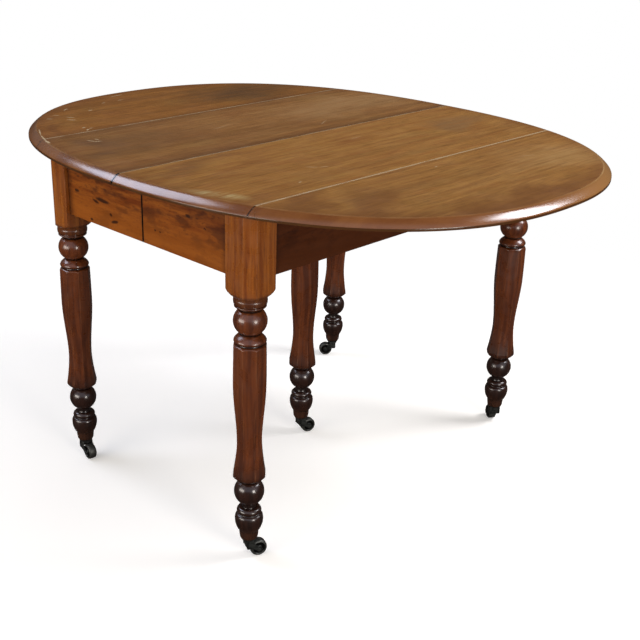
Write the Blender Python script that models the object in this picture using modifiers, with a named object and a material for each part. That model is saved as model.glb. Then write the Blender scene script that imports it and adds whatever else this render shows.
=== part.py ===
"""An extending drop-leaf dining table with an oval top and five turned legs on casters.

X runs along the seams of the top, Y across them, Z up from the floor. The front is at -Y.
Each half of the table is the other one turned half round about Z, so a half is modelled once, at +Y.
"""

from math import asin, copysign, cos, degrees, hypot, pi, radians, sin, sqrt

import bmesh
import bpy
from mathutils import Matrix, Vector

# Clearances
seat_gap = 0.0003  # between pieces that are fixed together
slide_gap = 0.0005  # between pieces that slide on each other
over = 0.01  # how far a cutter runs past what it cuts

# Frame: four corner legs, with aprons set back between their blocks
leg_span_x = 0.840  # between leg axes, along the seams
leg_span_y = 0.552  # between leg axes, across the seams
leg_square = 0.064
leg_chamfer = 0.0175  # on the outer corner of a block, along each face
leg_arris = 0.0012  # on its other corners
apron_thick = 0.022
apron_depth = 0.1247
apron_set_back = 0.008  # behind the face of the block
apron_split = 0.001  # between the halves of an end apron
tenon_thick = 0.011
tenon_length = 0.022
tenon_shoulder = 0.012  # above and below a tenon

# Top: two fixed boards and two D-shaped leaves, with a wide bevel round the oval
top_height = 0.737
board_thick = 0.019
end_overhang = 0.060  # from a leg block to the rim, along the seams
leaf_joint_out = 0.0085  # from a leg block to the leaf joint
leaf_reach = 0.3285  # from the leaf joint to the rim
oval_power = 2.32  # 2 would be an ellipse
oval_points = 72
tip_flat = 0.016  # straight length at each end of the oval, where the middle seam meets it
bevel_width = 0.016
edge_height = 0.0055  # upright edge left under the bevel
board_seam = 0.0005  # between the fixed boards

# Rule joint between a fixed board and its leaf
rule_fillet = 0.0035  # upright step at the top of the joint
rule_lip = 0.003  # wood below the hinge axis
rule_play = 0.0004
rule_steps = 8

# Hinges, let into the underside across the rule joint
hinge_x = 0.200
hinge_length = 0.060
hinge_middle = 0.020  # knuckle of the leaf's plate
hinge_plate = 0.0015
hinge_board_reach = 0.030  # from the axis to the end of the board's plate
hinge_leaf_reach = 0.046
hinge_clear = 0.0044  # round the knuckles
pin_radius = 0.0012
pin_play = 0.0002
hinge_steps = 8

# Pegs that line the fixed boards up
peg_spacing = 0.300
peg_radius = 0.004
peg_seat = 0.022  # depth in the board that keeps the peg
peg_reach = 0.013  # depth in the other board
peg_point = 0.004

# Lopers: bearers that pull out through the side aprons to hold the leaves up
loper_inset = 0.120  # from a leg's axis to the middle of the loper
loper_width = 0.034
loper_depth = 0.028
loper_end = 0.012  # from the middle of the table to the loper's inner end
loper_stop = 0.012  # length of the stop on the inner end
loper_stop_drop = 0.007
finger_length = 0.024  # hollow under the outer end
finger_depth = 0.007
finger_inset = 0.010
keeper_from = 0.200  # middle of the table to the keeper that guides the loper
keeper_length = 0.040
keeper_wall = 0.009

# Telescopic slides: a dovetailed centre rail between a front rail and a back rail
rail_x = 0.150
rail_width = 0.024
rail_depth = 0.060
rail_drop = 0.002  # centre rail below the boards
half_rail_end = 0.195  # how far a half's rail runs past the middle
centre_rail_end = 0.235
tongue_depth = 0.008
tongue_root = 0.012
tongue_tip = 0.018
bearer_width = 0.090
bearer_depth = 0.0355
bearer_past = 0.030  # past the centre rails

# Centre leg
centre_leg_x = 0.022
centre_leg_y = 0.012
centre_tenon = 0.030
centre_tenon_length = 0.026

# Leg turnings, from the block down, as (height, radius) of each element
block_drop = 0.0255  # block below the apron
shoulder_height = 0.0165
collar_height = 0.0085
bead_height = 0.0060
bead_radius = 0.0285
upper_neck_height = 0.0040
upper_neck_radius = 0.0172
upper_ball_height = 0.0480
upper_ball_radius = 0.0318
cushion_height = 0.0200
cushion_radius = 0.0300
cushion_neck_radius = 0.0168
groove_height = 0.0030
groove_radius = 0.0275
ring_height = 0.0095
ring_proud = 0.0008  # ring past the corners of the shaft

# Octagonal shaft, as half the distance across its flats
ring_flat = 0.0307  # where the flats run out at the groove
shaft_top_flat = 0.0303
shaft_swell_flat = 0.0311
shaft_waist_flat = 0.0237
shaft_foot_flat = 0.0310
shaft_swell_below = 0.0640  # from the top of the shaft
shaft_waist_above = 0.0680  # from its foot
flare_power = 1.6

# Leg turnings from the shaft's foot down
foot_cone_height = 0.0180
foot_neck_radius = 0.0150
lower_ball_height = 0.0500
lower_ball_radius = 0.0296
lower_neck_height = 0.0090
lower_neck_radius = 0.0122
small_ring_height = 0.0115
small_ring_radius = 0.0242
notch_height = 0.0025
notch_radius = 0.0222
bulb_height = 0.0380
bulb_radius = 0.0276
stub_height = 0.0190
stub_top_radius = 0.0196
stub_foot_radius = 0.0174
turning_steps = 16
ball_roundness = 0.68  # 0.5 would be an ellipse

# Casters
wheel_radius = 0.0175
wheel_width = 0.018
wheel_rim = 0.0042  # raised rim round the dish
wheel_dish = 0.0028  # depth of the dish
tread_round = 0.003
wheel_stand_off = 0.0015  # from the swivel axis to the tread
wheel_headroom = 0.0062
wheel_play = 0.00025
plate_radius = 0.0148
plate_thick = 0.003
stem_radius = 0.004
stem_length = 0.028
rivet_radius = 0.0027
rivet_head_radius = 0.0045
rivet_head = 0.0025
hub_radius = 0.012
hub_thick = 0.006
cheek_gap = 0.0012
cheek_thick = 0.0026
cheek_half = 0.008  # half a cheek's length where it meets the hub
web_thick = 0.0025  # web that joins the cheeks ahead of the wheel
web_drop = 0.013  # web below the hub
boss_radius = 0.0055
axle_radius = 0.0025
axle_head = 0.0012
caster_steps = 12
caster_turns = {  # way each wheel trails, in degrees from +X
    "front_left": 336,
    "front_right": 54,
    "back_left": 262,
    "back_right": 140,
    "centre": 342,
}

# Looks: sRGB-like linear colour, roughness, metallic
top_look = ("polished_walnut_top", (0.235, 0.130, 0.050), 0.35, 0.0)
frame_look = ("polished_walnut_frame", (0.195, 0.060, 0.014), 0.40, 0.0)
leg_look = ("polished_walnut_leg", (0.115, 0.033, 0.010), 0.32, 0.0)
bare_look = ("bare_birch_slide", (0.420, 0.270, 0.130), 0.65, 0.0)
iron_look = ("blackened_iron", (0.022, 0.023, 0.022), 0.50, 0.9)
brass_look = ("dull_brass_hinge", (0.300, 0.210, 0.085), 0.45, 1.0)

# Places worked out from the sizes above
leg_x = leg_span_x / 2
leg_y = leg_span_y / 2
block = leg_square / 2
under = top_height - board_thick
leg_top = under - seat_gap
apron_low = leg_top - apron_depth
joint_y = leg_y + block + leaf_joint_out
half_x = leg_x + block + end_overhang
half_y = joint_y + leaf_reach
rule_radius = board_thick - rule_fillet - rule_lip
axis_z = under + rule_lip
apron_face_y = leg_y + block - apron_set_back
apron_back_y = apron_face_y - apron_thick
apron_middle = block - apron_set_back - apron_thick / 2
mortise_depth = tenon_length + seat_gap
tenon_low = apron_low + tenon_shoulder
tenon_top = leg_top - tenon_shoulder
loper_x = leg_x - loper_inset
loper_low = leg_top - loper_depth
rail_low = leg_top - rail_depth
rail_middle = leg_top - rail_depth / 2
bearer_top = rail_low - seat_gap
bearer_low = bearer_top - bearer_depth
plate_low = 2 * wheel_radius + wheel_headroom
plate_top = plate_low + plate_thick
caster_height = plate_top + seat_gap
hub_top = plate_low - seat_gap
hub_low = hub_top - hub_thick
trail = wheel_radius + wheel_stand_off
octagon_reach = 1 / cos(pi / 8)  # across corners over across flats
ring_radius = shaft_top_flat * octagon_reach + ring_proud

for old in list(bpy.data.objects):
    bpy.data.objects.remove(old)

parts = bpy.data.collections.new("drop_leaf_table")
bench = bpy.data.collections.new("bench")
bpy.context.scene.collection.children.link(parts)
bpy.context.scene.collection.children.link(bench)


def material(look):
    """A Principled material, made once for each look."""
    name, colour, roughness, metallic = look
    made = bpy.data.materials.get(name)
    if made is None:
        made = bpy.data.materials.new(name)
        made.use_nodes = True
        shader = made.node_tree.nodes["Principled BSDF"]
        shader.inputs["Base Color"].default_value = (*colour, 1.0)
        shader.inputs["Roughness"].default_value = roughness
        shader.inputs["Metallic"].default_value = metallic
        made.diffuse_color = (*colour, 1.0)
    return made


def on_bench(mesh):
    """A working object that is cut or joined before it is placed."""
    body = bpy.data.objects.new("work", mesh)
    bench.objects.link(body)
    return body


def from_bmesh(shape):
    """A working object from a bmesh, with its faces turned outwards."""
    bmesh.ops.recalc_face_normals(shape, faces=shape.faces)
    mesh = bpy.data.meshes.new("work")
    shape.to_mesh(mesh)
    shape.free()
    return on_bench(mesh)


def box(low, high):
    """A block between two corners."""
    low, high = Vector(low), Vector(high)
    shape = bmesh.new()
    bmesh.ops.create_cube(shape, size=1.0, matrix=Matrix.LocRotScale((low + high) / 2, None, high - low))
    return from_bmesh(shape)


def cylinder(radius, start, end, steps):
    """A round bar between two points."""
    start, end = Vector(start), Vector(end)
    along = (end - start).to_track_quat("Z", "Y")
    shape = bmesh.new()
    bmesh.ops.create_cone(
        shape,
        cap_ends=True,
        segments=steps,
        radius1=radius,
        radius2=radius,
        depth=(end - start).length,
        matrix=Matrix.LocRotScale((start + end) / 2, along, None),
    )
    return from_bmesh(shape)


def prism(outline, axis, low, high):
    """A flat outline drawn out along an axis. The outline's two numbers are the other axes, in order."""
    shape = bmesh.new()
    corners = []
    for u, v in outline:
        point = [u, v]
        point.insert(axis, low)
        corners.append(shape.verts.new(point))
    drawn = bmesh.ops.extrude_face_region(shape, geom=[shape.faces.new(corners)])
    far = [v for v in drawn["geom"] if isinstance(v, bmesh.types.BMVert)]
    bmesh.ops.translate(shape, verts=far, vec=[high - low if n == axis else 0.0 for n in range(3)])
    return from_bmesh(shape)


def loft(rings):
    """A skin over rings of points that match one to one, closed at both ends."""
    shape = bmesh.new()
    loops = [[shape.verts.new(point) for point in ring] for ring in rings]
    for lower, upper in zip(loops, loops[1:]):
        for i in range(len(lower)):
            shape.faces.new((lower[i - 1], lower[i], upper[i], upper[i - 1]))
    shape.faces.new(loops[0])
    shape.faces.new(loops[-1])
    return from_bmesh(shape)


def turned(profile, steps, closed=False):
    """A profile of (radius, height), top to bottom, spun about Z. A closed one leaves a bore."""
    last = len(profile)
    edges = [(i, (i + 1) % last) for i in range(last if closed else last - 1)]
    mesh = bpy.data.meshes.new("work")
    mesh.from_pydata([(radius, 0.0, height) for radius, height in profile], edges, [])
    body = on_bench(mesh)
    spin = body.modifiers.new("spin", "SCREW")
    spin.steps = steps
    spin.render_steps = steps
    spin.use_merge_vertices = True
    spin.merge_threshold = 0.00001
    return body


def carve(body, tool, how="DIFFERENCE"):
    """Cuts the tool out of the body, or joins or keeps what they share."""
    step = body.modifiers.new("carve", "BOOLEAN")
    step.operation = how
    step.object = tool
    return body


def fused(body, *others):
    """One body from several that overlap."""
    for other in others:
        carve(body, other, "UNION")
    return body


def finished(body, origin=(0.0, 0.0, 0.0)):
    """The body's mesh after its cuts, seen from its origin, with the bench cleared."""
    bpy.context.view_layer.update()
    graph = bpy.context.evaluated_depsgraph_get()
    mesh = bpy.data.meshes.new_from_object(body.evaluated_get(graph), depsgraph=graph)
    for used in list(bench.objects):
        bpy.data.objects.remove(used)
    mesh.transform(Matrix.Translation(-Vector(origin)))
    mesh.shade_smooth()
    mesh.set_sharp_from_angle(angle=radians(32))
    return mesh


def empty(name, at, turn=0.0, parent=None):
    """A frame that pieces hang on, such as a joint's axis."""
    frame = bpy.data.objects.new(name, None)
    parts.objects.link(frame)
    frame.location = at
    frame.rotation_euler.z = turn
    frame.parent = parent
    return frame


def place(name, mesh, look, parent, at=(0.0, 0.0, 0.0), turn=0.0):
    """A named piece in the table, with its own material."""
    piece = bpy.data.objects.new(name, mesh)
    parts.objects.link(piece)
    if not mesh.materials:
        mesh.materials.append(material(look))
    piece.location = at
    piece.rotation_euler.z = turn
    piece.parent = parent
    return piece


def arc(centre, radii, start, end, steps):
    """Points along an ellipse's arc, with its ends, between two angles in degrees."""
    angles = [radians(start + (end - start) * i / steps) for i in range(steps + 1)]
    return [(centre[0] + radii[0] * cos(a), centre[1] + radii[1] * sin(a)) for a in angles]


# Top


def oval_ring(height, inset):
    """The rim's outline, set in from the edge by a distance, at a height."""
    ring = []
    for i in range(oval_points):
        angle = 2 * pi * i / oval_points
        across = copysign(abs(cos(angle)) ** (2 / oval_power), cos(angle))
        along = copysign(abs(sin(angle)) ** (2 / oval_power), sin(angle))
        slope_x = copysign(abs(across) ** (oval_power - 1), across) / half_x
        slope_y = copysign(abs(along) ** (oval_power - 1), along) / half_y
        steep = hypot(slope_x, slope_y)
        x = half_x * across - inset * slope_x / steep
        y = half_y * along - inset * slope_y / steep
        if i % (oval_points // 2) == 0:
            ring.append((x, -across * tip_flat / 2, height))
            ring.append((x, across * tip_flat / 2, height))
        else:
            ring.append((x, y, height))
    return ring


def oval_slab():
    """The whole top before it is cut into boards."""
    rim = under + edge_height
    return loft([oval_ring(under, 0.0), oval_ring(rim, 0.0), oval_ring(top_height, bevel_width)])


def across_top(section):
    """A section in Y and Z, drawn out past both ends of the top."""
    return prism(section, 0, -half_x - over, half_x + over)


def hinge_pocket(x, start, end):
    """Room for a hinge in the underside, between two distances from the middle."""
    reach = hinge_length / 2 + seat_gap
    deep = under + hinge_plate + seat_gap
    return box((x - reach, start, under - over), (x + reach, end, deep))


def fixed_board():
    """A fixed board, with the rounded edge of the rule joint."""
    low_turn = -degrees(asin(rule_lip / rule_radius))
    edge = arc((joint_y, axis_z), (rule_radius, rule_radius), low_turn, 90, rule_steps)
    foot = (edge[0][0], under - over)
    seam = board_seam / 2
    section = [(seam, under - over), foot, *edge, (joint_y, top_height + over), (seam, top_height + over)]
    board = carve(oval_slab(), across_top(section), "INTERSECT")
    for x in (-hinge_x, hinge_x):
        outer = joint_y + rule_radius + rule_lip
        carve(board, hinge_pocket(x, joint_y - hinge_board_reach - seat_gap, outer))
        reach = hinge_length / 2 + seat_gap
        start, end = (x - reach, joint_y, axis_z), (x + reach, joint_y, axis_z)
        carve(board, cylinder(hinge_clear, start, end, hinge_steps))
    for x in (-peg_spacing, 0.0, peg_spacing):
        middle = under + board_thick / 2
        end = (x, peg_seat + seat_gap, middle)
        carve(board, cylinder(peg_radius + seat_gap, (x, -over, middle), end, caster_steps))
    return finished(board)


def drop_leaf():
    """A leaf, with the hollow edge of the rule joint and its origin on the hinge axis."""
    hollow = rule_radius + rule_play
    top_turn = 90 - degrees(asin(rule_play / hollow))
    cove = arc((joint_y, axis_z), (hollow, hollow), 0, top_turn, rule_steps)
    far = half_y + over
    section = [
        (joint_y + hollow, under - over),
        *cove,
        (joint_y + rule_play, top_height + over),
        (far, top_height + over),
        (far, under - over),
    ]
    leaf = carve(oval_slab(), across_top(section), "INTERSECT")
    for x in (-hinge_x, hinge_x):
        carve(leaf, hinge_pocket(x, joint_y, joint_y + hinge_leaf_reach + seat_gap))
    return finished(leaf, (0.0, joint_y, axis_z))


def knuckle(x, length):
    """A hinge knuckle round the axis."""
    start, end = (x - length / 2, joint_y, axis_z), (x + length / 2, joint_y, axis_z)
    return cylinder(rule_lip - seat_gap / 3, start, end, hinge_steps)


def hinge_board_plate():
    """The plate on the fixed board, with the outer knuckles and the pin."""
    end = hinge_length / 2
    inner = hinge_middle / 2 + seat_gap
    top = under + hinge_plate
    near = joint_y - hinge_clear
    plate = box((-end, joint_y - hinge_board_reach, under), (end, near, top))
    start, stop = (-end, joint_y, axis_z), (end, joint_y, axis_z)
    fused(plate, cylinder(pin_radius, start, stop, hinge_steps))
    for hand in (-1, 1):
        middle = hand * (end + inner) / 2
        length = end - inner
        strap_low = (middle - length / 2, near - hinge_plate, under)
        strap = box(strap_low, (middle + length / 2, joint_y, top))
        fused(plate, strap, knuckle(middle, length))
    return finished(plate)


def hinge_leaf_plate():
    """The plate on the leaf, with the middle knuckle, as seen from the hinge axis."""
    end = hinge_length / 2
    inner = hinge_middle / 2
    top = under + hinge_plate
    near = joint_y + hinge_clear
    plate = box((-end, near, under), (end, joint_y + hinge_leaf_reach, top))
    strap = box((-inner, joint_y, under), (inner, near + hinge_plate, top))
    fused(plate, strap, knuckle(0.0, hinge_middle))
    start, stop = (-inner - over, joint_y, axis_z), (inner + over, joint_y, axis_z)
    carve(plate, cylinder(pin_radius + pin_play, start, stop, hinge_steps))
    return finished(plate, (0.0, joint_y, axis_z))


def peg():
    """A turned peg along Y, pointed at the end that enters the other board."""
    profile = [
        (0.0, peg_seat),
        (peg_radius - peg_point / 4, peg_seat),
        (peg_radius, peg_seat - peg_point / 4),
        (peg_radius, -peg_reach + peg_point),
        (peg_radius / 2, -peg_reach),
        (0.0, -peg_reach),
    ]
    mesh = finished(turned(profile, caster_steps))
    mesh.transform(Matrix.Rotation(-pi / 2, 4, "X"))
    return mesh


# Legs


def swelling(start, end, thickest, top, height, steps):
    """A turned ball between two necks, from its height at the top."""
    points = []
    for i in range(steps + 1):
        part = i / steps
        neck = start + (end - start) * part
        bulge = (thickest - (start + end) / 2) * (1 - (2 * part - 1) ** 2) ** ball_roundness
        points.append((neck + bulge, top - height * part))
    return points


# Heights down the turnings, with the shaft taking up what is left between them
block_low = apron_low - block_drop
collar_top = block_low - shoulder_height
collar_low = collar_top - collar_height
bead_low = collar_low - bead_height
ball_top = bead_low - upper_neck_height
cushion_low = ball_top - upper_ball_height - cushion_height
groove_low = cushion_low - groove_height
shaft_top = groove_low - ring_height
bulb_top = caster_height + stub_height + bulb_height
small_ring_low = bulb_top + notch_height
small_ring_top = small_ring_low + small_ring_height
foot_neck = small_ring_top + lower_neck_height + lower_ball_height
shaft_foot = foot_neck + foot_cone_height


def leg_profile(top):
    """The turned outline of a leg whose block ends at a height. The shaft and block are cut from it."""
    blank_radius = block * sqrt(2) / cos(pi / turning_steps) + seat_gap
    collar_radius = block - leg_arris / 2
    shoulder = arc((collar_radius, block_low), (blank_radius - collar_radius, shoulder_height), 0, -90, 3)
    cushion_swell = cushion_radius - cushion_neck_radius
    cushion = arc((cushion_neck_radius, cushion_low), (cushion_swell, cushion_height), 90, 0, 3)
    ring = arc((groove_radius, shaft_top), (ring_radius - groove_radius, ring_height), 90, 0, 3)
    foot_rough = shaft_foot_flat * octagon_reach + ring_proud
    small_middle = (small_ring_top + small_ring_low) / 2
    small_swell = small_ring_radius - notch_radius
    small_ring = arc((notch_radius, small_middle), (small_swell, small_ring_height / 2), 70, -70, 2)
    bulb_start = notch_radius + (bulb_radius - notch_radius) / 4
    return [
        (0.0, top),
        (blank_radius, top),
        *shoulder,
        (collar_radius, collar_low + collar_height / 3),
        (bead_radius, collar_low),
        (bead_radius + bead_height / 4, (collar_low + bead_low) / 2),
        *swelling(upper_neck_radius, cushion_neck_radius, upper_ball_radius, ball_top, upper_ball_height, 5),
        *cushion[1:],
        (groove_radius, cushion_low - groove_height / 4),
        (groove_radius, groove_low),
        *ring[1:],
        (ring_radius, shaft_top - ring_height),
        (foot_rough, shaft_foot),
        *swelling(foot_neck_radius, lower_neck_radius, lower_ball_radius, foot_neck, lower_ball_height, 5),
        (lower_neck_radius, small_ring_top + lower_neck_height / 3),
        *small_ring,
        (notch_radius, bulb_top),
        *swelling(bulb_start, stub_top_radius, bulb_radius, bulb_top, bulb_height, 5)[1:],
        (stub_foot_radius, caster_height),
        (0.0, caster_height),
    ]


def shaft_flat(height):
    """Half the width across the shaft's flats at a height: a slow swell, a taper and a flared foot."""
    swell = shaft_top - shaft_swell_below
    waist = shaft_foot + shaft_waist_above
    if height >= swell:
        part = (shaft_top - height) / shaft_swell_below
        return shaft_top_flat + (shaft_swell_flat - shaft_top_flat) * sin(part * pi / 2)
    if height >= waist:
        part = (swell - height) / (swell - waist)
        return shaft_swell_flat + (shaft_waist_flat - shaft_swell_flat) * (1 - cos(pi * part)) / 2
    part = (waist - height) / shaft_waist_above
    return shaft_waist_flat + (shaft_foot_flat - shaft_waist_flat) * part**flare_power


def eight_sided(height, flat, corners):
    """Eight points round four flats and four corner planes, each a distance from the axis."""
    points = []
    for quarter, corner in enumerate(corners):
        turn = Matrix.Rotation(quarter * pi / 2, 3, "Z")
        side = corner * sqrt(2) - flat
        points.append(turn @ Vector((flat, side, height)))
        points.append(turn @ Vector((side, flat, height)))
    return points


def leg_envelope(top, chamfer):
    """What is left of a leg's turned blank: the block above, the octagonal shaft below."""
    sharp = (leg_square - leg_arris) / sqrt(2)
    corners = [(leg_square - chamfer) / sqrt(2), sharp, sharp, sharp]
    clear = ring_radius * octagon_reach
    rings = [eight_sided(top + over, block, corners)]
    rings.append(eight_sided(collar_top, block, corners))
    for height in (collar_low, cushion_low):
        rings.append(eight_sided(height, clear, [clear] * 4))
    rings.append(eight_sided(groove_low, ring_flat, [ring_flat] * 4))
    swell = shaft_top - shaft_swell_below
    waist = shaft_foot + shaft_waist_above
    heights = [shaft_top, (shaft_top + swell) / 2]
    heights += [swell + (waist - swell) * i / 5 for i in range(6)]
    heights += [waist + (shaft_foot - waist) * i / 4 for i in range(1, 5)]
    for height in heights:
        flat = shaft_flat(height)
        rings.append(eight_sided(height, flat, [flat] * 4))
    rings.append(eight_sided(caster_height - over, shaft_foot_flat, [shaft_foot_flat] * 4))
    return loft(rings[::-1])


def stem_bore():
    """The hole for a caster's stem."""
    end = (0, 0, plate_top + stem_length + seat_gap)
    return cylinder(stem_radius + seat_gap, (0, 0, caster_height - over), end, caster_steps)


def corner_leg():
    """A leg whose outer corner is at +X +Y, with mortises for a side apron and an end apron."""
    leg = carve(turned(leg_profile(leg_top), turning_steps), leg_envelope(leg_top, leg_chamfer), "INTERSECT")
    wide = tenon_thick / 2 + seat_gap
    low, high = tenon_low - seat_gap, tenon_top + seat_gap
    deep = -block + mortise_depth
    carve(leg, box((-block - over, apron_middle - wide, low), (deep, apron_middle + wide, high)))
    carve(leg, box((apron_middle - wide, -block - over, low), (apron_middle + wide, deep, high)))
    carve(leg, stem_bore())
    return finished(leg)


def centre_leg():
    """The middle leg, with a short block and a tenon that enters the bearer."""
    top = bearer_low - seat_gap
    leg = carve(turned(leg_profile(top), turning_steps), leg_envelope(top, leg_arris), "INTERSECT")
    half = centre_tenon / 2
    fused(leg, box((-half, -half, top - tenon_shoulder), (half, half, top + centre_tenon_length)))
    carve(leg, stem_bore())
    return finished(leg)


# Aprons


def tenon(axis, inner, outer, across):
    """A tenon along X or Y, between two distances, centred on the apron."""
    half = tenon_thick / 2
    if axis == "x":
        return box((inner, across - half, tenon_low), (outer, across + half, tenon_top))
    return box((across - half, inner, tenon_low), (across + half, outer, tenon_top))


def end_apron():
    """Half of an end apron, from the split at the middle to its leg, centred on X."""
    end = leg_y - block - seat_gap
    half = apron_thick / 2
    apron = box((-half, apron_split / 2, apron_low), (half, end, leg_top))
    fused(apron, tenon("y", end - tenon_shoulder, end + tenon_length, 0.0))
    return finished(apron)


def side_apron():
    """The apron between two legs of a half, with slots for the lopers."""
    end = leg_x - block - seat_gap
    middle = apron_face_y - apron_thick / 2
    apron = box((-end, apron_back_y, apron_low), (end, apron_face_y, leg_top))
    for hand in (-1, 1):
        near, far = sorted((hand * (end - tenon_shoulder), hand * (end + tenon_length)))
        fused(apron, tenon("x", near, far, middle))
        wide = loper_width / 2 + slide_gap
        low = (hand * loper_x - wide, apron_back_y - over, loper_low - slide_gap)
        carve(apron, box(low, (hand * loper_x + wide, apron_face_y + over, leg_top + over)))
    return finished(apron)


# Lopers and slides


def loper():
    """A pull-out bearer, with a finger hollow outside and a stop inside, centred on X."""
    outer_end = apron_face_y
    hollow_out = outer_end - finger_inset
    hollow = arc((hollow_out - finger_length / 2, loper_low), (finger_length / 2, finger_depth), 180, 0, 6)
    stop_end = loper_end + loper_stop
    outline = [
        (outer_end, leg_top),
        (loper_end, leg_top),
        (loper_end, loper_low - loper_stop_drop),
        (stop_end, loper_low - loper_stop_drop),
        (stop_end, loper_low),
        *hollow,
        (outer_end, loper_low),
    ]
    return finished(prism(outline, 0, -loper_width / 2, loper_width / 2))


def loper_keeper():
    """A bracket under the board that the loper slides through, centred on X."""
    inner = loper_width / 2 + slide_gap
    outer = inner + keeper_wall
    floor = loper_low - slide_gap
    outline = [
        (-outer, leg_top),
        (-outer, floor - keeper_wall),
        (outer, floor - keeper_wall),
        (outer, leg_top),
        (inner, leg_top),
        (inner, floor),
        (-inner, floor),
        (-inner, leg_top),
    ]
    return finished(prism(outline, 1, keeper_from, keeper_from + keeper_length))


def centre_rail():
    """The middle rail of a slide, with a dovetailed tongue on each side, centred on X."""
    half = rail_width / 2
    tip = half + tongue_depth
    right = [
        (half, rail_low),
        (half, rail_middle - tongue_root / 2),
        (tip, rail_middle - tongue_tip / 2),
        (tip, rail_middle + tongue_tip / 2),
        (half, rail_middle + tongue_root / 2),
        (half, leg_top - rail_drop),
    ]
    left = [(-x, z) for x, z in reversed(right)]
    return finished(prism(right + left, 1, -centre_rail_end, centre_rail_end))


def half_rail():
    """The rail of a half, on the +X side of a centre rail, with a dovetailed groove."""
    near = rail_width / 2 + slide_gap
    far = near + rail_width
    deep = rail_width / 2 + tongue_depth + slide_gap
    mouth = tongue_root / 2 + slide_gap
    wide = tongue_tip / 2 + slide_gap
    outline = [
        (near, rail_low),
        (far, rail_low),
        (far, leg_top),
        (near, leg_top),
        (near, rail_middle + mouth),
        (deep, rail_middle + wide),
        (deep, rail_middle - wide),
        (near, rail_middle - mouth),
    ]
    return finished(prism(outline, 1, -half_rail_end, apron_back_y - seat_gap))


def cross_bearer():
    """The bearer under the centre rails that the middle leg carries."""
    end = rail_x + bearer_past
    wide = bearer_width / 2
    bearer = box((-end, -wide, bearer_low), (end, wide, bearer_top))
    half = centre_tenon / 2 + seat_gap
    low = (centre_leg_x - half, centre_leg_y - half, bearer_low - over)
    high = (centre_leg_x + half, centre_leg_y + half, bearer_low + centre_tenon_length + seat_gap)
    return finished(carve(bearer, box(low, high)))


# Casters, seen from the swivel axis, with the wheel trailing along +X


def caster_plate():
    """The round plate under a leg, with its stem above and the rivet that the horn turns on below."""
    rivet_top = hub_low - seat_gap
    profile = [
        (0.0, plate_top + stem_length),
        (stem_radius, plate_top + stem_length),
        (stem_radius, plate_top),
        (plate_radius, plate_top),
        (plate_radius, plate_low),
        (rivet_radius, plate_low),
        (rivet_radius, rivet_top),
        (rivet_head_radius, rivet_top),
        (rivet_head_radius * 0.6, rivet_top - rivet_head),
        (0.0, rivet_top - rivet_head),
    ]
    return finished(turned(profile, caster_steps))


def caster_horn():
    """The swivelling fork, with the axle riveted through its cheeks."""
    horn = cylinder(hub_radius, (0, 0, hub_low), (0, 0, hub_top), caster_steps)
    inner = wheel_width / 2 + cheek_gap
    outer = inner + cheek_thick
    boss = arc((trail, wheel_radius), (boss_radius, boss_radius), 65, -135, 5)
    web_low = hub_low - web_drop
    outline = [(-cheek_half, web_low), (-cheek_half, hub_top), (cheek_half, hub_top), *boss]
    for hand in (-1, 1):
        low, high = sorted((hand * inner, hand * outer))
        fused(horn, prism(outline, 1, low, high))
    middle = (inner + outer) / 2
    web_near = (-cheek_half + seat_gap, -middle, web_low + seat_gap)
    web_far = (-cheek_half + web_thick, middle, hub_top - seat_gap)
    fused(horn, box(web_near, web_far))
    reach = outer + axle_head
    near, far = (trail, -reach, wheel_radius), (trail, reach, wheel_radius)
    fused(horn, cylinder(axle_radius, near, far, caster_steps))
    bore = rivet_radius + seat_gap
    carve(horn, cylinder(bore, (0, 0, hub_low - over), (0, 0, hub_top + over), caster_steps))
    return finished(horn)


def caster_wheel():
    """A dished wheel with a raised rim and a rounded tread, spun about its axle along Y."""
    half = wheel_width / 2
    bore = axle_radius + wheel_play
    dish = half - wheel_dish
    side = [
        (bore, half),
        (boss_radius, half),
        (boss_radius + wheel_dish / 2, dish),
        (wheel_radius - wheel_rim - wheel_dish / 2, dish),
        (wheel_radius - wheel_rim, half),
        (wheel_radius - tread_round / 2, half - tread_round / 2),
        (wheel_radius, half - tread_round),
    ]
    other = [(radius, -height) for radius, height in reversed(side)]
    mesh = finished(turned(side + other, caster_steps, closed=True))
    mesh.transform(Matrix.Rotation(-pi / 2, 4, "X"))
    return mesh


# Assembly

board_mesh = fixed_board()
leaf_mesh = drop_leaf()
board_plate_mesh = hinge_board_plate()
leaf_plate_mesh = hinge_leaf_plate()
peg_mesh = peg()
corner_leg_mesh = corner_leg()
end_apron_mesh = end_apron()
side_apron_mesh = side_apron()
loper_mesh = loper()
keeper_mesh = loper_keeper()
half_rail_mesh = half_rail()
centre_rail_mesh = centre_rail()
plate_mesh = caster_plate()
horn_mesh = caster_horn()
wheel_mesh = caster_wheel()


def add_caster(name, parent, at, turn):
    """A caster under a leg. The turn is the way its wheel trails, seen from the parent."""
    place(f"caster_plate_{name}", plate_mesh, iron_look, parent, at)
    swivel = empty(f"swivel_{name}", at, turn, parent)
    place(f"caster_horn_{name}", horn_mesh, iron_look, swivel)
    place(f"caster_wheel_{name}", wheel_mesh, iron_look, swivel, (trail, 0.0, wheel_radius))


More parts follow.
